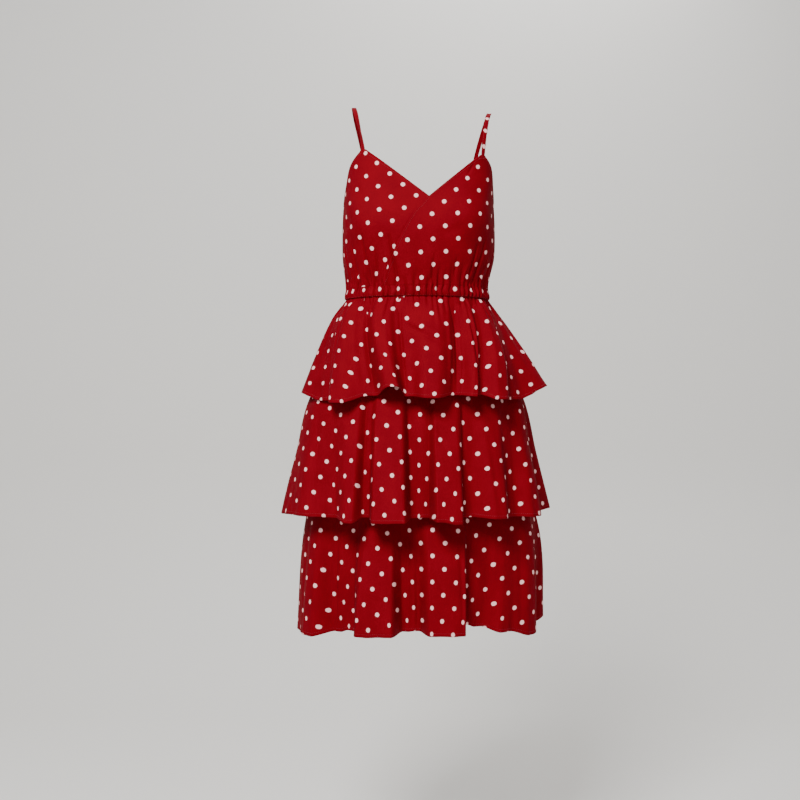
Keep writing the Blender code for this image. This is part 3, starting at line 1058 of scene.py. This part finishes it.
@dataclass
class WaistCasing(ClothPiece):
    """The casing that holds the waist elastic, drawn up into puckers all round.

    Fields: its puckers, how far it bulges between its two seams, the front that lies on top above it, its
    mesh's columns and rows, and the shift of its grain.
    """

    puckers: Puckers = field(default_factory=Puckers)
    bulge: float = 1.2
    upper_front: FrontPanel | None = None
    columns: int = 608
    rows: int = 22
    grain_shift: tuple[float, float] = (6.0, 4.0)

    def at(self, angle: np.ndarray, up: np.ndarray, lift: np.ndarray | float) -> np.ndarray:
        """Return points of the casing, flush with the bodice above, at angles and shares of its height."""
        height = WAIST_SEAM_HEIGHT + CASING_HEIGHT * up
        inside = clamped(up)
        arch = np.sin(np.pi * inside)
        swell = 2.0 * self.bulge * arch * (1.0 - inside)
        from_middle = np.abs(up - 0.5) * CASING_HEIGHT * 0.2
        slant = 1.1 * arch * np.sin(np.radians(angle * 5.0))
        grooves = self.puckers.grooves(angle + slant, from_middle, 1.4)
        front = self.upper_front
        across = turned(angle, front.wrap_angle) / (front.side_angle - front.wrap_angle)
        over = front.lift_over(across) * eased(clamped(across / 0.03 + 1.0)) + gather_relief(angle, 0.0)
        shared = eased(inside)
        out = swell + grooves + 1.2 * (1.0 - shared) + over * shared + lift
        return push_out(read_table(BODICE_FORMS, height), angle, height, out)

    def grid(self) -> ClothGrid:
        """Return the casing's rings, with both edges drawn in at their seams."""
        inner = np.linspace(0.0, 1.0, self.rows + 1)
        # The outer rows turn in behind the seams, with their lifts and their places on the cut below
        up = np.concatenate([[0.06, 0.0], inner[1:-1], [1.0, 0.94]])
        lift = np.concatenate([[-1.8, -1.0], np.zeros(self.rows - 1), [0.0, -1.2]])
        angle = 360.0 * np.arange(self.columns) / self.columns
        points = self.at(*np.meshgrid(angle, up), lift[:, None])
        ring = self.at(np.append(angle, 360.0), np.full(self.columns + 1, 0.5), 0.0)
        seam_allowance = np.zeros(len(up))
        seam_allowance[:2], seam_allowance[-2:] = (-4.0, -1.0), (1.0, 4.0)
        height = WAIST_SEAM_HEIGHT + CASING_HEIGHT * up
        height = np.clip(height, WAIST_SEAM_HEIGHT, CASING_TOP_HEIGHT) + seam_allowance
        flat = np.stack(np.meshgrid(run_along(ring), height), axis=-1)
        return ClothGrid(points, flat, True, 0.0, self.grain_shift)

    def stitch_lines(self) -> list[np.ndarray]:
        """Return the stitches that close the casing along its lower edge."""
        angle = np.linspace(0.0, 360.0, self.columns + 1)
        return [self.at(angle, np.full_like(angle, 0.1), SHELL / 2.0)]


def lay_flat(rows: np.ndarray, seam_fullness: float) -> tuple[np.ndarray, float]:
    """Unroll a ring of cloth, column by column, to the flared cut that it was sewn from.

    Args:
        rows: the rings from the seam to the hem in millimetres, with the first column repeated last.
        seam_fullness: how much longer the cut's seam edge is than the ring that it is drawn up to.

    Returns:
        The place of each point on the flat cut, whose middle hangs straight down, and half the angle in
        degrees that the cut spans.
    """
    steps = np.linalg.norm(np.diff(rows, axis=1), axis=-1)
    falls = run_along(rows)
    seam_steps = steps[0] * seam_fullness
    length = (falls[-1, 1:] + falls[-1, :-1]) / 2.0
    turns = (steps[-1] - seam_steps) / length
    # The flare is shared out over a twelfth of the way round, so that a fold doesn't bend the cut by itself
    reach = max(len(turns) // 24, 1)
    window = np.ones(2 * reach + 1) / (2 * reach + 1)
    turns = np.convolve(np.concatenate([turns[-reach:], turns, turns[:reach]]), window, mode="valid")
    direction = np.append(0.0, np.cumsum(turns))
    half_span = direction[-1] / 2.0
    direction -= half_span
    middle = (direction[1:] + direction[:-1]) / 2.0
    seam_x = np.append(0.0, np.cumsum(seam_steps * np.cos(middle)))
    seam_y = np.append(0.0, np.cumsum(seam_steps * np.sin(middle)))
    flat = np.stack([seam_x + falls * np.sin(direction), seam_y - falls * np.cos(direction)], axis=-1)
    return flat, math.degrees(half_span)


@dataclass
class Underskirt(ClothPiece):
    """The plain skirt inside, which carries the two lower flounces."""

    columns: int = 180
    rows: int = 60
    seam_allowance: float = 7.0

    def grid(self) -> ClothGrid:
        """Return the underskirt's rings, from its lower edge to its seam allowance behind the casing."""
        hung = np.linspace(UNDERSKIRT_END_HEIGHT, WAIST_SEAM_HEIGHT - SEAM_GAP, self.rows + 1)
        sewn_in = WAIST_SEAM_HEIGHT + self.seam_allowance * np.array([0.2, 0.5, 1.0])
        angle, height = np.meshgrid(np.linspace(0.0, 360.0, self.columns + 1), np.append(hung, sewn_in))
        drawn_in = 4.2 * clamped((height - hung[-1]) / self.seam_allowance * 2.0)
        out = soft_unevenness(angle, height, 0.5, 5) - drawn_in
        points = push_out(read_table(UNDERSKIRT_FORMS, height), angle, height, out)
        flat, _ = lay_flat(points[::-1], 1.0)
        return ClothGrid(points[:, :-1], flat[::-1], True)


@dataclass
class Flounce(ClothPiece):
    """A flared flounce cut from part of a circle, which hangs in folds from its seam.

    Fields: the heights of its seam and hem, its mean outlines, its folds and creases, how deep the folds are
    at the seam and how soon they deepen, its puckers at the seam, the allowance that runs up behind the seam,
    the fullness and the grain of its cut, the seed of its unevenness, how flat its crests are beside their
    flanks, and its mesh's fineness.
    """

    seam_height: float = 0.0
    hem_height: float = 0.0
    outlines: tuple[TierRow, ...] = ()
    folds: tuple[FoldRow, ...] = ()
    creases: tuple[CreaseRow, ...] = ()
    depth_at_seam: float = 0.08
    growth: float = 1.1
    puckers: Puckers | None = None
    seam_allowance: float = 0.0
    seam_fullness: float = 1.0
    start_turn: float = 0.0
    grain_shift: tuple[float, float] = (0.0, 0.0)
    seed: int = 3
    crispness: float = 1.5
    steps_per_fold: int = 22
    rows: int = 66

    @property
    def length(self) -> float:
        """Return how far the flounce hangs below its seam."""
        return self.seam_height - self.hem_height

    def at(
        self,
        around: np.ndarray,
        fall: np.ndarray,
        lift: np.ndarray | float,
        fine: bool = True,
    ) -> np.ndarray:
        """Return points of the flounce.

        Args:
            around: the place round the flounce, counted in rows of its fold table.
            fall: the share of the way from the seam to the hem.
            lift: how far the point stands off the cloth.
            fine: whether the creases, puckers and ripples are added to the folds.

        Returns:
            The points in millimetres.
        """
        folds = np.array(self.folds)
        count = len(folds)
        index = np.floor(around).astype(int)
        share = around - index
        here, after = folds[index % count], folds[(index + 1) % count]
        angle_here, angle_after = (
            row[..., 0] + (row[..., 1] - row[..., 0]) * fall + 360.0 * (place // count)
            for row, place in ((here, index), (after, index + 1))
        )
        angle = angle_here + (angle_after - angle_here) * share
        soft = eased(clamped((share - 0.5) * self.crispness + 0.5))
        depth = self.depth_at_seam + (1.0 - self.depth_at_seam) * np.maximum(fall, 0.0) ** self.growth
        depth = depth * clamped(fall / 0.08)
        out, rise, lean = (
            here[..., column] + (after[..., column] - here[..., column]) * soft for column in (2, 3, 4)
        )
        height = self.seam_height - self.length * fall + rise * fall ** 2
        out = out * depth
        if fine:
            out = out + self.fine_relief(angle, fall, height)
        level = read_table(self.outlines, fall)
        # Its outlines are ellipses, of squareness 2
        outline = np.concatenate([level, np.full(level.shape[:-1] + (1,), 2.0)], axis=-1)
        return push_out(outline, angle, height, out + lift, lean * depth)

    def fine_relief(self, angle: np.ndarray, fall: np.ndarray, height: np.ndarray) -> np.ndarray:
        """Return the rise of the creases, puckers and hem ripples that lie on the folds."""
        # One degree is 2 mm of cloth at the seam and 3.4 mm at the hem
        out = crease_relief(self.creases, angle, fall, 2.0 + 1.4 * fall, self.length)
        out += soft_unevenness(angle, height, 2.0, self.seed) * clamped(fall / 0.15)
        if self.puckers is not None:
            out += self.puckers.grooves(angle, fall * self.length, 1.6)
        random = np.random.default_rng(self.seed + 100)
        near_hem = fall ** 8
        for waves in (23, 37, 58):
            phase = random.uniform(0.0, 2.0 * np.pi)
            wobble = 0.6 * np.sin(np.radians(angle) * 5.0 + phase * 2.0)
            out += near_hem * 0.55 * np.sin(np.radians(angle) * waves + phase + wobble)
        return out

    def grid(self) -> ClothGrid:
        """Return the flounce's rings, from the turned hem up to the seam."""
        fall, lift, fall_cut = path_with_turnings(
            self.rows, TURNED_WIDTH / self.length, False, self.seam_allowance / self.length,
        )
        around = np.arange(len(self.folds) * self.steps_per_fold + 1) / self.steps_per_fold
        points = self.at(*np.meshgrid(around, fall), lift[:, None])
        plain = self.at(*np.meshgrid(around, np.linspace(0.0, 1.0, 30)), 0.0, fine=False)
        plain_flat, half_span = lay_flat(plain, self.seam_fullness)
        seam_line, hem_line = plain_flat[0], plain_flat[-1]
        flat = seam_line[None] + (hem_line - seam_line)[None] * fall_cut[:, None, None]
        return ClothGrid(points[::-1, :-1], flat[::-1], True, self.start_turn + half_span, self.grain_shift)

    def stitch_lines(self) -> list[np.ndarray]:
        """Return the stitches of the narrow hem."""
        around = np.linspace(0.0, len(self.folds), len(self.folds) * 20 + 1)
        return [self.at(around, np.full_like(around, 1.0 - (TURNED_WIDTH - 1.0) / self.length), 0.3)]


@dataclass
class Strap(ClothPiece):
    """A narrow strap from the front's point over the shoulder to the back.

    It is a strip sewn to a tube and turned right side out, so it is hollow, with a wall of one layer.

    Fields: the panels that it joins and where on their edges, the rows of its centre line between them, how
    far its ends run down inside, the shift of its print, its width and thickness, how square its edges are
    (1 is an ellipse, less is squarer), and how many rings and points it has.
    """

    slot: Slot = Slot.STRAP
    held: Held = Held.STRETCHED
    shell: float = 0.4
    front: FrontPanel | None = None
    back: BackPanel | None = None
    front_place: float = 0.5
    back_place: float = 0.5
    middle: tuple[StrapRow, ...] = ()
    sewn_in: float = 10.0
    # Half the diagonal of the print's square, which puts a row of spots on the centre line
    print_shift: tuple[float, float] = (21.57, 0.0)
    width: float = 8.0
    thickness: float = 1.5
    flatness: float = 0.55
    rings: int = 170
    ring_points: int = 16

    def ends_at(self, panel: BodicePiece, place: float, reach: float) -> tuple[StrapRow, StrapRow]:
        """Return where the strap crosses a panel's upper edge, and where it ends inside.

        Args:
            panel: the panel that the strap is sewn to.
            place: the share of the panel's width at which it is sewn.
            reach: half the width of edge that gives the strap its heading, as a share of the panel.

        Returns:
            The row at the edge, and the row at the strap's sewn end.
        """
        across = np.array([place - reach, place, place + reach])
        points, _, _ = panel.at(across, np.ones(3), 0.0)
        end_share = 1.0 - self.sewn_in / (BACK_TOP_HEIGHT - CASING_TOP_HEIGHT)
        inside, _, _ = panel.at(across, np.full(3, end_share), -2.0)
        low, high = sorted((tuple(points[0]), tuple(points[2])))
        heading = math.degrees(math.atan2(high[1] - low[1], high[0] - low[0]))
        drawn_in = points[1] + (inside[1] - points[1]) * 0.12
        return StrapRow(*drawn_in, heading), StrapRow(*inside[1], heading)

    def route(self) -> tuple[StrapRow, ...]:
        """Return the rows of the whole centre line, from the front end to the back end."""
        front_edge, front_end = self.ends_at(self.front, self.front_place, 0.5 / FRONT_STEPS)
        back_edge, back_end = self.ends_at(self.back, self.back_place, 0.5 / BACK_STEPS)
        return (front_end, front_edge, *self.middle, back_edge, back_end)

    def centre(self, share: np.ndarray) -> tuple[np.ndarray, np.ndarray, np.ndarray]:
        """Return the centre line, the direction across the strap, and the direction out of its face."""
        rows = [(index, *row) for index, row in enumerate(self.route())]
        last = len(rows) - 1
        read = read_table(rows, share * last)
        step = 1e-3
        ahead = read_table(rows, np.minimum(share + step, 1.0) * last)[..., :3]
        behind = read_table(rows, np.maximum(share - step, 0.0) * last)[..., :3]
        along = ahead - behind
        along /= np.linalg.norm(along, axis=-1, keepdims=True)
        heading = np.radians(read[..., 3])
        across = np.stack([np.cos(heading), np.sin(heading), np.zeros_like(heading)], axis=-1)
        across -= along * np.sum(across * along, axis=-1, keepdims=True)
        across /= np.linalg.norm(across, axis=-1, keepdims=True)
        return read[..., :3], across, np.cross(across, along)

    def grid(self) -> ClothGrid:
        """Return the strap as rings along the middle of its cloth, round its centre line."""
        centre, across, out = self.centre(np.linspace(0.0, 1.0, self.rings + 1))
        turn = -2.0 * np.pi * np.arange(self.ring_points) / self.ring_points
        wide, deep = (
            np.sign(reach) * np.abs(reach) ** self.flatness * ((size - self.shell) / 2.0)
            for reach, size in ((np.cos(turn), self.width), (np.sin(turn), self.thickness))
        )
        points = centre[:, None] + across[:, None] * wide[:, None] + out[:, None] * deep[:, None]
        girth = run_along(np.stack([np.append(wide, wide[0]), np.append(deep, deep[0])], axis=-1))
        # The print is measured from the middle of the strap's face, three quarters of the way round
        flat = np.stack(np.meshgrid(girth - girth[3 * self.ring_points // 4], run_along(centre)), axis=-1)
        return ClothGrid(points, flat, True, 45.0, self.print_shift)

    def stitch_lines(self) -> list[np.ndarray]:
        """Return the stitches beside each edge of the strap's face."""
        centre, across, out = self.centre(np.linspace(0.01, 0.99, 160))
        inset = self.width / 2.0 - 1.3
        return [centre + across * side * inset + out * (self.thickness / 2.0 + 0.05) for side in (-1.0, 1.0)]


RIGHT_PANEL_EDGE = rows_of(EdgeRow, (
    (0, 15, NECK_POINT_HEIGHT),
    (8, -96, -82),
    (9, -103.5, -82),
    (13, -123.5, -108),
    (16, -131, -142),
    (19, -136, UNDERARM_HEIGHT),
))
LEFT_PANEL_EDGE = rows_of(EdgeRow, (
    (0, 15, NECK_POINT_HEIGHT),
    (8, 104.5, -92),
    (9, 112, -92),
    (13, 125, -112),
    (16, 129.5, -143),
    (19, 132, UNDERARM_HEIGHT),
))

RIGHT_FRONT_CREASES = rows_of(CreaseRow, (
    (-16.5, -320, -19.5, -238, -5, 2.6),
    (-22, -318, -24, -250, 1.8, 3.4),
    (-34, -318, -31, -262, -3.8, 2.4),
    (-41, -318, -43, -236, -4.2, 2.6),
    (-54, -318, -57, -250, -3.8, 2.6),
    (-26, -318, -24, -284, 1.6, 3),
    (-66, -316, -70, -246, -2.2, 3),
    (-78, -318, -80, -270, -2, 3),
    (-12, -212, -28, -196, -1.6, 8),
    (-74, -190, -56, -214, -1.4, 6),
    (-50, -130, -30, -176, 1.2, 9),
))
LEFT_FRONT_CREASES = rows_of(CreaseRow, (
    (-16.5, -320, -19.5, -238, -5, 2.6),
    (-22, -318, -24, -250, 1.8, 3.4),
    (8, -320, 9, -268, -2.4, 2.4),
    (27, -318, 26, -276, -3, 2.4),
    (41, -318, 43, -252, -4.2, 2.6),
    (48, -318, 52, -244, -4.2, 2.4),
    (56, -318, 60, -268, -2.2, 2.4),
    (36, -318, 37, -286, 1.6, 3),
    (68, -318, 73, -250, -2.4, 3),
    (80, -318, 82, -272, -2, 3),
    (12, -238, 30, -220, -1.2, 8),
    (38, -108, 31, -128, -1.8, 3),
    (74, -188, 58, -214, -1.4, 6),
))
BACK_CREASES = rows_of(CreaseRow, (
    (103, -318, 101, -262, -2.2, 3),
    (117, -318, 113, -240, -2.8, 2.6),
    (131, -318, 133, -274, -2.2, 2.4),
    (146, -318, 150, -236, -2.8, 2.8),
    (163, -318, 161, -268, -2.2, 2.4),
    (178, -318, 177, -246, -2.6, 2.8),
    (194, -318, 197, -262, -2.2, 2.4),
    (209, -318, 213, -238, -2.8, 2.6),
    (226, -318, 224, -270, -2.2, 2.4),
    (241, -318, 238, -244, -2.6, 2.8),
    (256, -318, 257, -264, -2.2, 3),
    (130, -196, 160, -212, -1.2, 9),
    (232, -200, 206, -216, -1.2, 9),
))

TIER_1_OUTLINES = rows_of(TierRow, (
    (0, 132, 124, 93, 90),
    (0.2, 156, 145, 108, 105),
    (0.6, 184, 184, 137, 134),
    (1, 207, 216, 164, 161),
))
TIER_2_OUTLINES = rows_of(TierRow, (
    (0, 152.7, 150.7, 112.9, 112.9),
    (0.24, 196, 186, 131, 131),
    (0.6, 218, 206, 154, 154),
    (1, 241, 226, 178, 178),
))
TIER_3_OUTLINES = rows_of(TierRow, (
    (0, 187.2, 186.2, 122.2, 122.2),
    (0.24, 203, 208, 130, 130),
    (0.6, 211, 217, 147, 150),
    (1, 214, 216, 158, 164),
))

TIER_1_FOLDS = rows_of(FoldRow, (
    (-92, -90, 5, 10, 0),
    (-76, -57, -12, -4, 0),
    (-62, -42, 9, -8, 0),
    (-43, -25.5, -20, 4, 0),
    (-31, -13.5, 12, 19, 6),
    (-15, -6, -14, 3, 0),
    (7, 4.5, 10, 0, 0),
    (31, 18, -17, 5, 0),
    (39, 24, 6, 3, 2),
    (47, 27.5, -12, 6, 0),
    (58, 37, 11, -2, 0),
    (75, 52, -15, -2, 0),
    (93, 88, 12, 22, 0),
    (112, 110, -16, 2, 0),
    (130, 128, 14, 6, -4),
    (147, 144, -18, 0, 0),
    (163, 162, 13, -3, 3),
    (180, 180, -20, 5, 0),
    (195, 197, 14, 8, -4),
    (211, 213, -16, 0, 0),
    (227, 230, 12, 3, 0),
    (247, 250, -12, 2, 0),
))
TIER_2_FOLDS = rows_of(FoldRow, (
    (-92, -90, 6, -2, 0),
    (-74, -64, 1, 0, 0),
    (-57, -40, -10, 1, 0),
    (-34, -30, 10, -5, 4),
    (-27, -24, -18, 3, 0),
    (-21, -17.5, 14, -4, 0),
    (-11, -9, 14, -3, 6),
    (-6, -3, -30, 2, 0),
    (2.5, 2.5, -26, 3, 0),
    (8, 7.5, 14, -1, 0),
    (18, 14, 14, -5, 5),
    (25, 21, -20, 4, 0),
    (40, 36, 8, 1, 0),
    (55, 46.5, -14, 1, 0),
    (68, 60, 8, 0, 0),
    (84, 78, -14, 2, 0),
    (101, 100, 12, 5, 0),
    (116, 117, -18, 2, 0),
    (131, 132, 16, -3, 4),
    (148, 148.5, -24, 3, 0),
    (166, 165, 16, -4, -4),
    (184, 183, -28, 4, 0),
    (201, 201, 16, -3, 4),
    (219, 219, -20, 2, 0),
    (240, 241, 10, 0, 0),
    (254, 256, -6, 0, 0),
))
TIER_3_FOLDS = rows_of(FoldRow, (
    (-95, -95, 5, -14, 0),
    (-78, -78, 4, -15, 0),
    (-62, -62, 10, -14, 3),
    (-47, -48, -26, -6, 0),
    (-34, -38, -24, -1, 0),
    (-25, -27.5, 13, -3, 0),
    (-15, -16, 13, -1, 5),
    (-8, -7.5, -30, 2, 0),
    (-3, -2, -24, 4, 0),
    (5, 5, 14, 2, 0),
    (18.5, 16.5, 14, 1, 5),
    (24.5, 22.5, -28, 12, 0),
    (33, 29, -26, 8, 0),
    (47, 43, -6, -2, 0),
    (61, 62, 7, -12, 0),
    (78, 79, -16, -6, 0),
    (97, 97, 9, 4, 0),
    (113, 114, -18, 2, 0),
    (130, 131, 15, -4, -4),
    (147, 148, -24, 2, 0),
    (165, 165, 15, -5, 4),
    (183, 183, -26, 3, 0),
    (201, 202, 15, -6, -4),
    (220, 220, -20, -2, 0),
    (242, 242, 8, -9, 0),
))

TIER_1_CREASES = rows_of(CreaseRow, (
    (-10, 0.28, 13, 0.48, -3.4, 4),
    (-9, 0.22, 12, 0.39, 2.2, 5),
    (-42.5, 0.03, -25, 0.96, -6.4, 4.2),
    (-15, 0.03, -7, 0.98, -4.6, 3.2),
    (26.5, 0.02, 17.5, 0.96, -5.4, 3.2),
    (37, 0.02, 27, 0.96, -4.6, 3.2),
    (68, 0.03, 48.5, 0.96, -4.2, 4),
    (-62, 0.04, -50, 0.85, -4, 4.6),
    (-84, 0.05, -76, 0.8, -2.8, 5.6),
    (-50, 0.06, -32, 0.95, 2.6, 4.6),
    (-21, 0.08, -11, 0.96, 2.6, 4),
    (20.5, 0.05, 13.5, 0.95, 3, 4),
    (31.5, 0.05, 22.5, 0.95, 2, 2.8),
    (88, 0.05, 76, 0.8, -3, 6),
    (118, 0.03, 114, 0.95, -4.8, 4),
    (139, 0.03, 137, 0.7, -3.8, 3.4),
    (154, 0.03, 150, 0.96, -4.8, 4),
    (174, 0.03, 173, 0.8, -3.8, 3.4),
    (187, 0.03, 189, 0.96, -4.8, 4),
    (204, 0.03, 206, 0.7, -3.8, 3.4),
    (219, 0.03, 222, 0.96, -4.8, 4),
    (238, 0.03, 240, 0.8, -3.8, 3.4),
    (255, 0.03, 257, 0.9, -3.4, 5),
    (128, 0.3, 142, 0.46, -1.6, 4),
    (210, 0.4, 196, 0.55, -1.6, 4),
))
TIER_2_CREASES = rows_of(CreaseRow, (
    (-28, 0.2, -27, 0.98, -2.6, 3),
    (-9, 0.2, -7.3, 0.98, -2.6, 3),
    (5, 0.3, 4.3, 0.98, -2.6, 3),
    (19, 0.2, 16.6, 0.98, -2.6, 3),
    (-62, 0.3, -52, 0.98, -2.6, 8),
    (35, 0.3, 35, 0.95, -1.8, 5),
    (8, 0.42, 12, 0.6, -1.4, 4),
    (-24, 0.88, -10, 0.94, 1.2, 3),
    (38, 0.82, 52, 0.88, -1.3, 3.4),
    (-20, 0.34, -11, 0.37, -1, 3),
    (50, 0.3, 44, 0.8, 1.6, 6),
    (70, 0.3, 66, 0.9, -1.6, 6),
    (90, 0.3, 88, 0.95, -2.2, 6),
    (124, 0.25, 123, 0.97, -2.4, 3.4),
    (140, 0.3, 141, 0.97, -2.6, 3.4),
    (157, 0.25, 156, 0.97, -2.4, 3.4),
    (175, 0.3, 173, 0.95, -2.6, 3.4),
    (192, 0.25, 193, 0.97, -2.4, 3.4),
    (210, 0.3, 211, 0.97, -2.6, 3.4),
    (229, 0.3, 230, 0.95, -2.2, 4),
    (247, 0.3, 249, 0.9, -2, 6),
    (128, 0.84, 139, 0.9, 1.2, 3.4),
    (203, 0.86, 194, 0.92, 1.2, 3.4),
))
TIER_3_CREASES = rows_of(CreaseRow, (
    (-27, 0.2, -32, 0.98, -2.6, 3),
    (-12.5, 0.2, -12, 0.98, -2.6, 3),
    (-2, 0.5, -1.5, 0.98, -2.2, 3),
    (17, 0.3, 17, 0.98, -2.4, 3),
    (24, 0.2, 22.5, 0.95, -2.2, 3),
    (-45, 0.2, -49, 0.98, -2.6, 3.4),
    (-70, 0.25, -72, 0.95, -2, 7),
    (-27, 0.72, -15, 0.78, -1.2, 2.8),
    (-24, 0.5, -17, 0.53, -1, 2.8),
    (5, 0.55, 14, 0.86, -1.4, 3),
    (38, 0.3, 35, 0.8, 2, 5),
    (54, 0.3, 53, 0.95, -2, 6),
    (88, 0.25, 87, 0.9, -2, 7),
    (122, 0.25, 123, 0.97, -2.4, 3.4),
    (139, 0.3, 140, 0.97, -2.6, 3.4),
    (156, 0.25, 156, 0.97, -2.4, 3.4),
    (174, 0.3, 174, 0.95, -2.6, 3.4),
    (192, 0.25, 193, 0.97, -2.4, 3.4),
    (211, 0.3, 212, 0.97, -2.6, 3.4),
    (230, 0.3, 231, 0.95, -2.2, 4),
    (252, 0.3, 254, 0.9, -2, 7),
    (160, 0.7, 170, 0.76, -1.2, 3),
    (206, 0.6, 198, 0.66, -1.2, 3),
))

RIGHT_STRAP = rows_of(StrapRow, (
    (-104.5, -60, -50, -72),
    (-113, -36, -14, -30),
    (-118, -4, 4.5, 0),
    (-116, 30, -8, 12),
    (-105, 60, -55, 26),
    (-94, 76, -115, 30),
))
LEFT_STRAP = rows_of(StrapRow, (
    (113, -59, -58, 28),
    (119, -37, -22, 12),
    (125, -4, -5.5, 0),
    (121, 30, -16, -12),
    (108, 60, -60, -26),
    (95, 76, -117, -30),
))


@dataclass(frozen=True)
class SoftLight:
    """A square soft light that faces the middle of the dress, with its place and size in metres."""

    name: str
    place: tuple[float, float, float]
    size: float
    power: float

    def build(self) -> None:
        """Add the light to the scene."""
        data = bpy.data.lights.new(self.name, "AREA")
        data.size = self.size
        data.energy = self.power
        light = add_object(self.name, data)
        light.location = self.place
        aim = Vector((0.0, 0.0, -0.5)) - Vector(self.place)
        light.rotation_euler = aim.to_track_quat("-Z", "Y").to_euler()


@dataclass(frozen=True)
class Studio:
    """The floor, the light and the camera.

    Fields are in metres: the camera's place, how wide the photo's frame is at the dress, the sizes of the
    floor and its back wall, and the lights. The air's light is a strength.
    """

    camera: tuple[float, float, float] = (-0.0351, -2.1, -0.5193)
    frame_width: float = 1.44
    floor_height: float = -1.40
    floor_front: float = -6.0
    half_width: float = 5.0
    wall_distance: float = 1.9
    wall_top: float = 3.2
    bend: float = 0.7
    bend_steps: int = 12
    air_light: float = 0.3
    lights: tuple[SoftLight, ...] = (
        SoftLight("key_light", (-0.9, -2.3, 1.5), 1.1, 148.0),
        SoftLight("fill_light", (1.8, -2.0, 0.4), 1.6, 10.0),
        SoftLight("back_light", (0.4, 1.5, 1.6), 1.2, 42.0),
    )

    def build_floor(self) -> None:
        """Build a floor that curves up into a back wall."""
        profile = [(self.floor_front, self.floor_height)]
        for step in range(self.bend_steps + 1):
            turn = math.pi / 2 * step / self.bend_steps
            across = self.wall_distance - self.bend + self.bend * math.sin(turn)
            profile.append((across, self.floor_height + self.bend - self.bend * math.cos(turn)))
        profile.append((self.wall_distance, self.wall_top))
        mesh = bpy.data.meshes.new("studio_floor")
        points = [(side * self.half_width, y, z) for y, z in profile for side in (-1.0, 1.0)]
        faces = [(2 * i, 2 * i + 1, 2 * i + 3, 2 * i + 2) for i in range(len(profile) - 1)]
        mesh.from_pydata(points, [], faces)
        mesh.shade_smooth()
        mesh.materials.append(StudioPaint().build())
        add_object("studio_floor", mesh)

    def build(self) -> None:
        """Build the floor, the lights and the camera."""
        self.build_floor()
        for light in self.lights:
            light.build()
        world = bpy.data.worlds.new("studio_air")
        world.use_nodes = True
        air = world.node_tree.nodes["Background"]
        air.inputs["Color"].default_value = to_linear("#FFFFFF")
        air.inputs["Strength"].default_value = self.air_light
        bpy.context.scene.world = world
        lens = bpy.data.cameras.new("camera")
        lens.sensor_width = 36.0
        lens.lens = lens.sensor_width * -self.camera[1] / self.frame_width
        camera = add_object("camera", lens)
        camera.location = self.camera
        camera.rotation_euler = (math.radians(90.0), 0.0, 0.0)
        bpy.context.scene.camera = camera


def dress_pieces() -> list[ClothPiece]:
    """Return the pieces of the dress, in the order in which they are sewn."""
    puckers = Puckers()
    right_front = FrontPanel(
        "right_front", creases=RIGHT_FRONT_CREASES, grain=-3.0, grain_shift=(-5.1, -0.4),
        edge_rows=RIGHT_PANEL_EDGE, wrap_angle=WRAP_REACH_AT_WAIST, side_angle=-90.0,
    )
    left_front = FrontPanel(
        "left_front", creases=LEFT_FRONT_CREASES, grain=-2.2, grain_shift=(10.2, -8.7),
        edge_rows=LEFT_PANEL_EDGE, wrap_angle=-WRAP_REACH_AT_WAIST, side_angle=90.0, wrap_lift=2.2,
    )
    back = BackPanel(
        "back_bodice", creases=BACK_CREASES, middle_angle=180.0, columns=200, rows=80,
        turned_sides=0.02, turned_top=0.04, sewn_foot=0.014,
    )
    return [
        right_front,
        left_front,
        back,
        WaistCasing(
            "waist_casing", held=Held.GATHERED, rests_on=("right_front", "left_front"), puckers=puckers,
            upper_front=left_front,
        ),
        Underskirt("underskirt", rests_on=("waist_casing",)),
        Flounce(
            "tier_1", held=Held.GATHERED, rests_on=("waist_casing",), seam_height=-341.0, hem_height=-516.0,
            outlines=TIER_1_OUTLINES, folds=TIER_1_FOLDS, creases=TIER_1_CREASES, depth_at_seam=0.20,
            growth=0.8, puckers=puckers, seam_allowance=5.0, seam_fullness=1.04, start_turn=31.0,
            grain_shift=(-1.4, -6.9), seed=3, steps_per_fold=29,
        ),
        Flounce(
            "tier_2", rests_on=("underskirt",), seam_height=-453.0, hem_height=-719.0,
            outlines=TIER_2_OUTLINES, folds=TIER_2_FOLDS, creases=TIER_2_CREASES, start_turn=52.0,
            grain_shift=(-5.9, 12.9), seed=4,
        ),
        Flounce(
            "tier_3", rests_on=("underskirt",), seam_height=-669.0, hem_height=-913.0,
            outlines=TIER_3_OUTLINES, folds=TIER_3_FOLDS, creases=TIER_3_CREASES, start_turn=57.0,
            grain_shift=(-6.4, 1.5), seed=5,
        ),
        Strap(
            "right_strap", rests_on=("right_front", "back_bodice"), front=right_front, back=back,
            front_place=8.5 / FRONT_STEPS, back_place=15.5 / BACK_STEPS,
            middle=RIGHT_STRAP, print_shift=(0.0, 0.0),
        ),
        Strap(
            "left_strap", rests_on=("left_front", "back_bodice"), front=left_front, back=back,
            front_place=8.5 / FRONT_STEPS, back_place=6.5 / BACK_STEPS,
            middle=LEFT_STRAP,
        ),
    ]


def main() -> None:
    """Build the studio and the dress."""
    logging.basicConfig(level=logging.INFO, format="%(name)s: %(message)s")
    Studio().build()
    finishes = Finishes(crepe=DottedCrepe().build(), thread=SewingThread().build())
    stitches = StitchTree()
    tree = stitches.build()
    for piece in dress_pieces():
        piece.dress(finishes, stitches, tree)


if __name__ == "__main__":
    main()
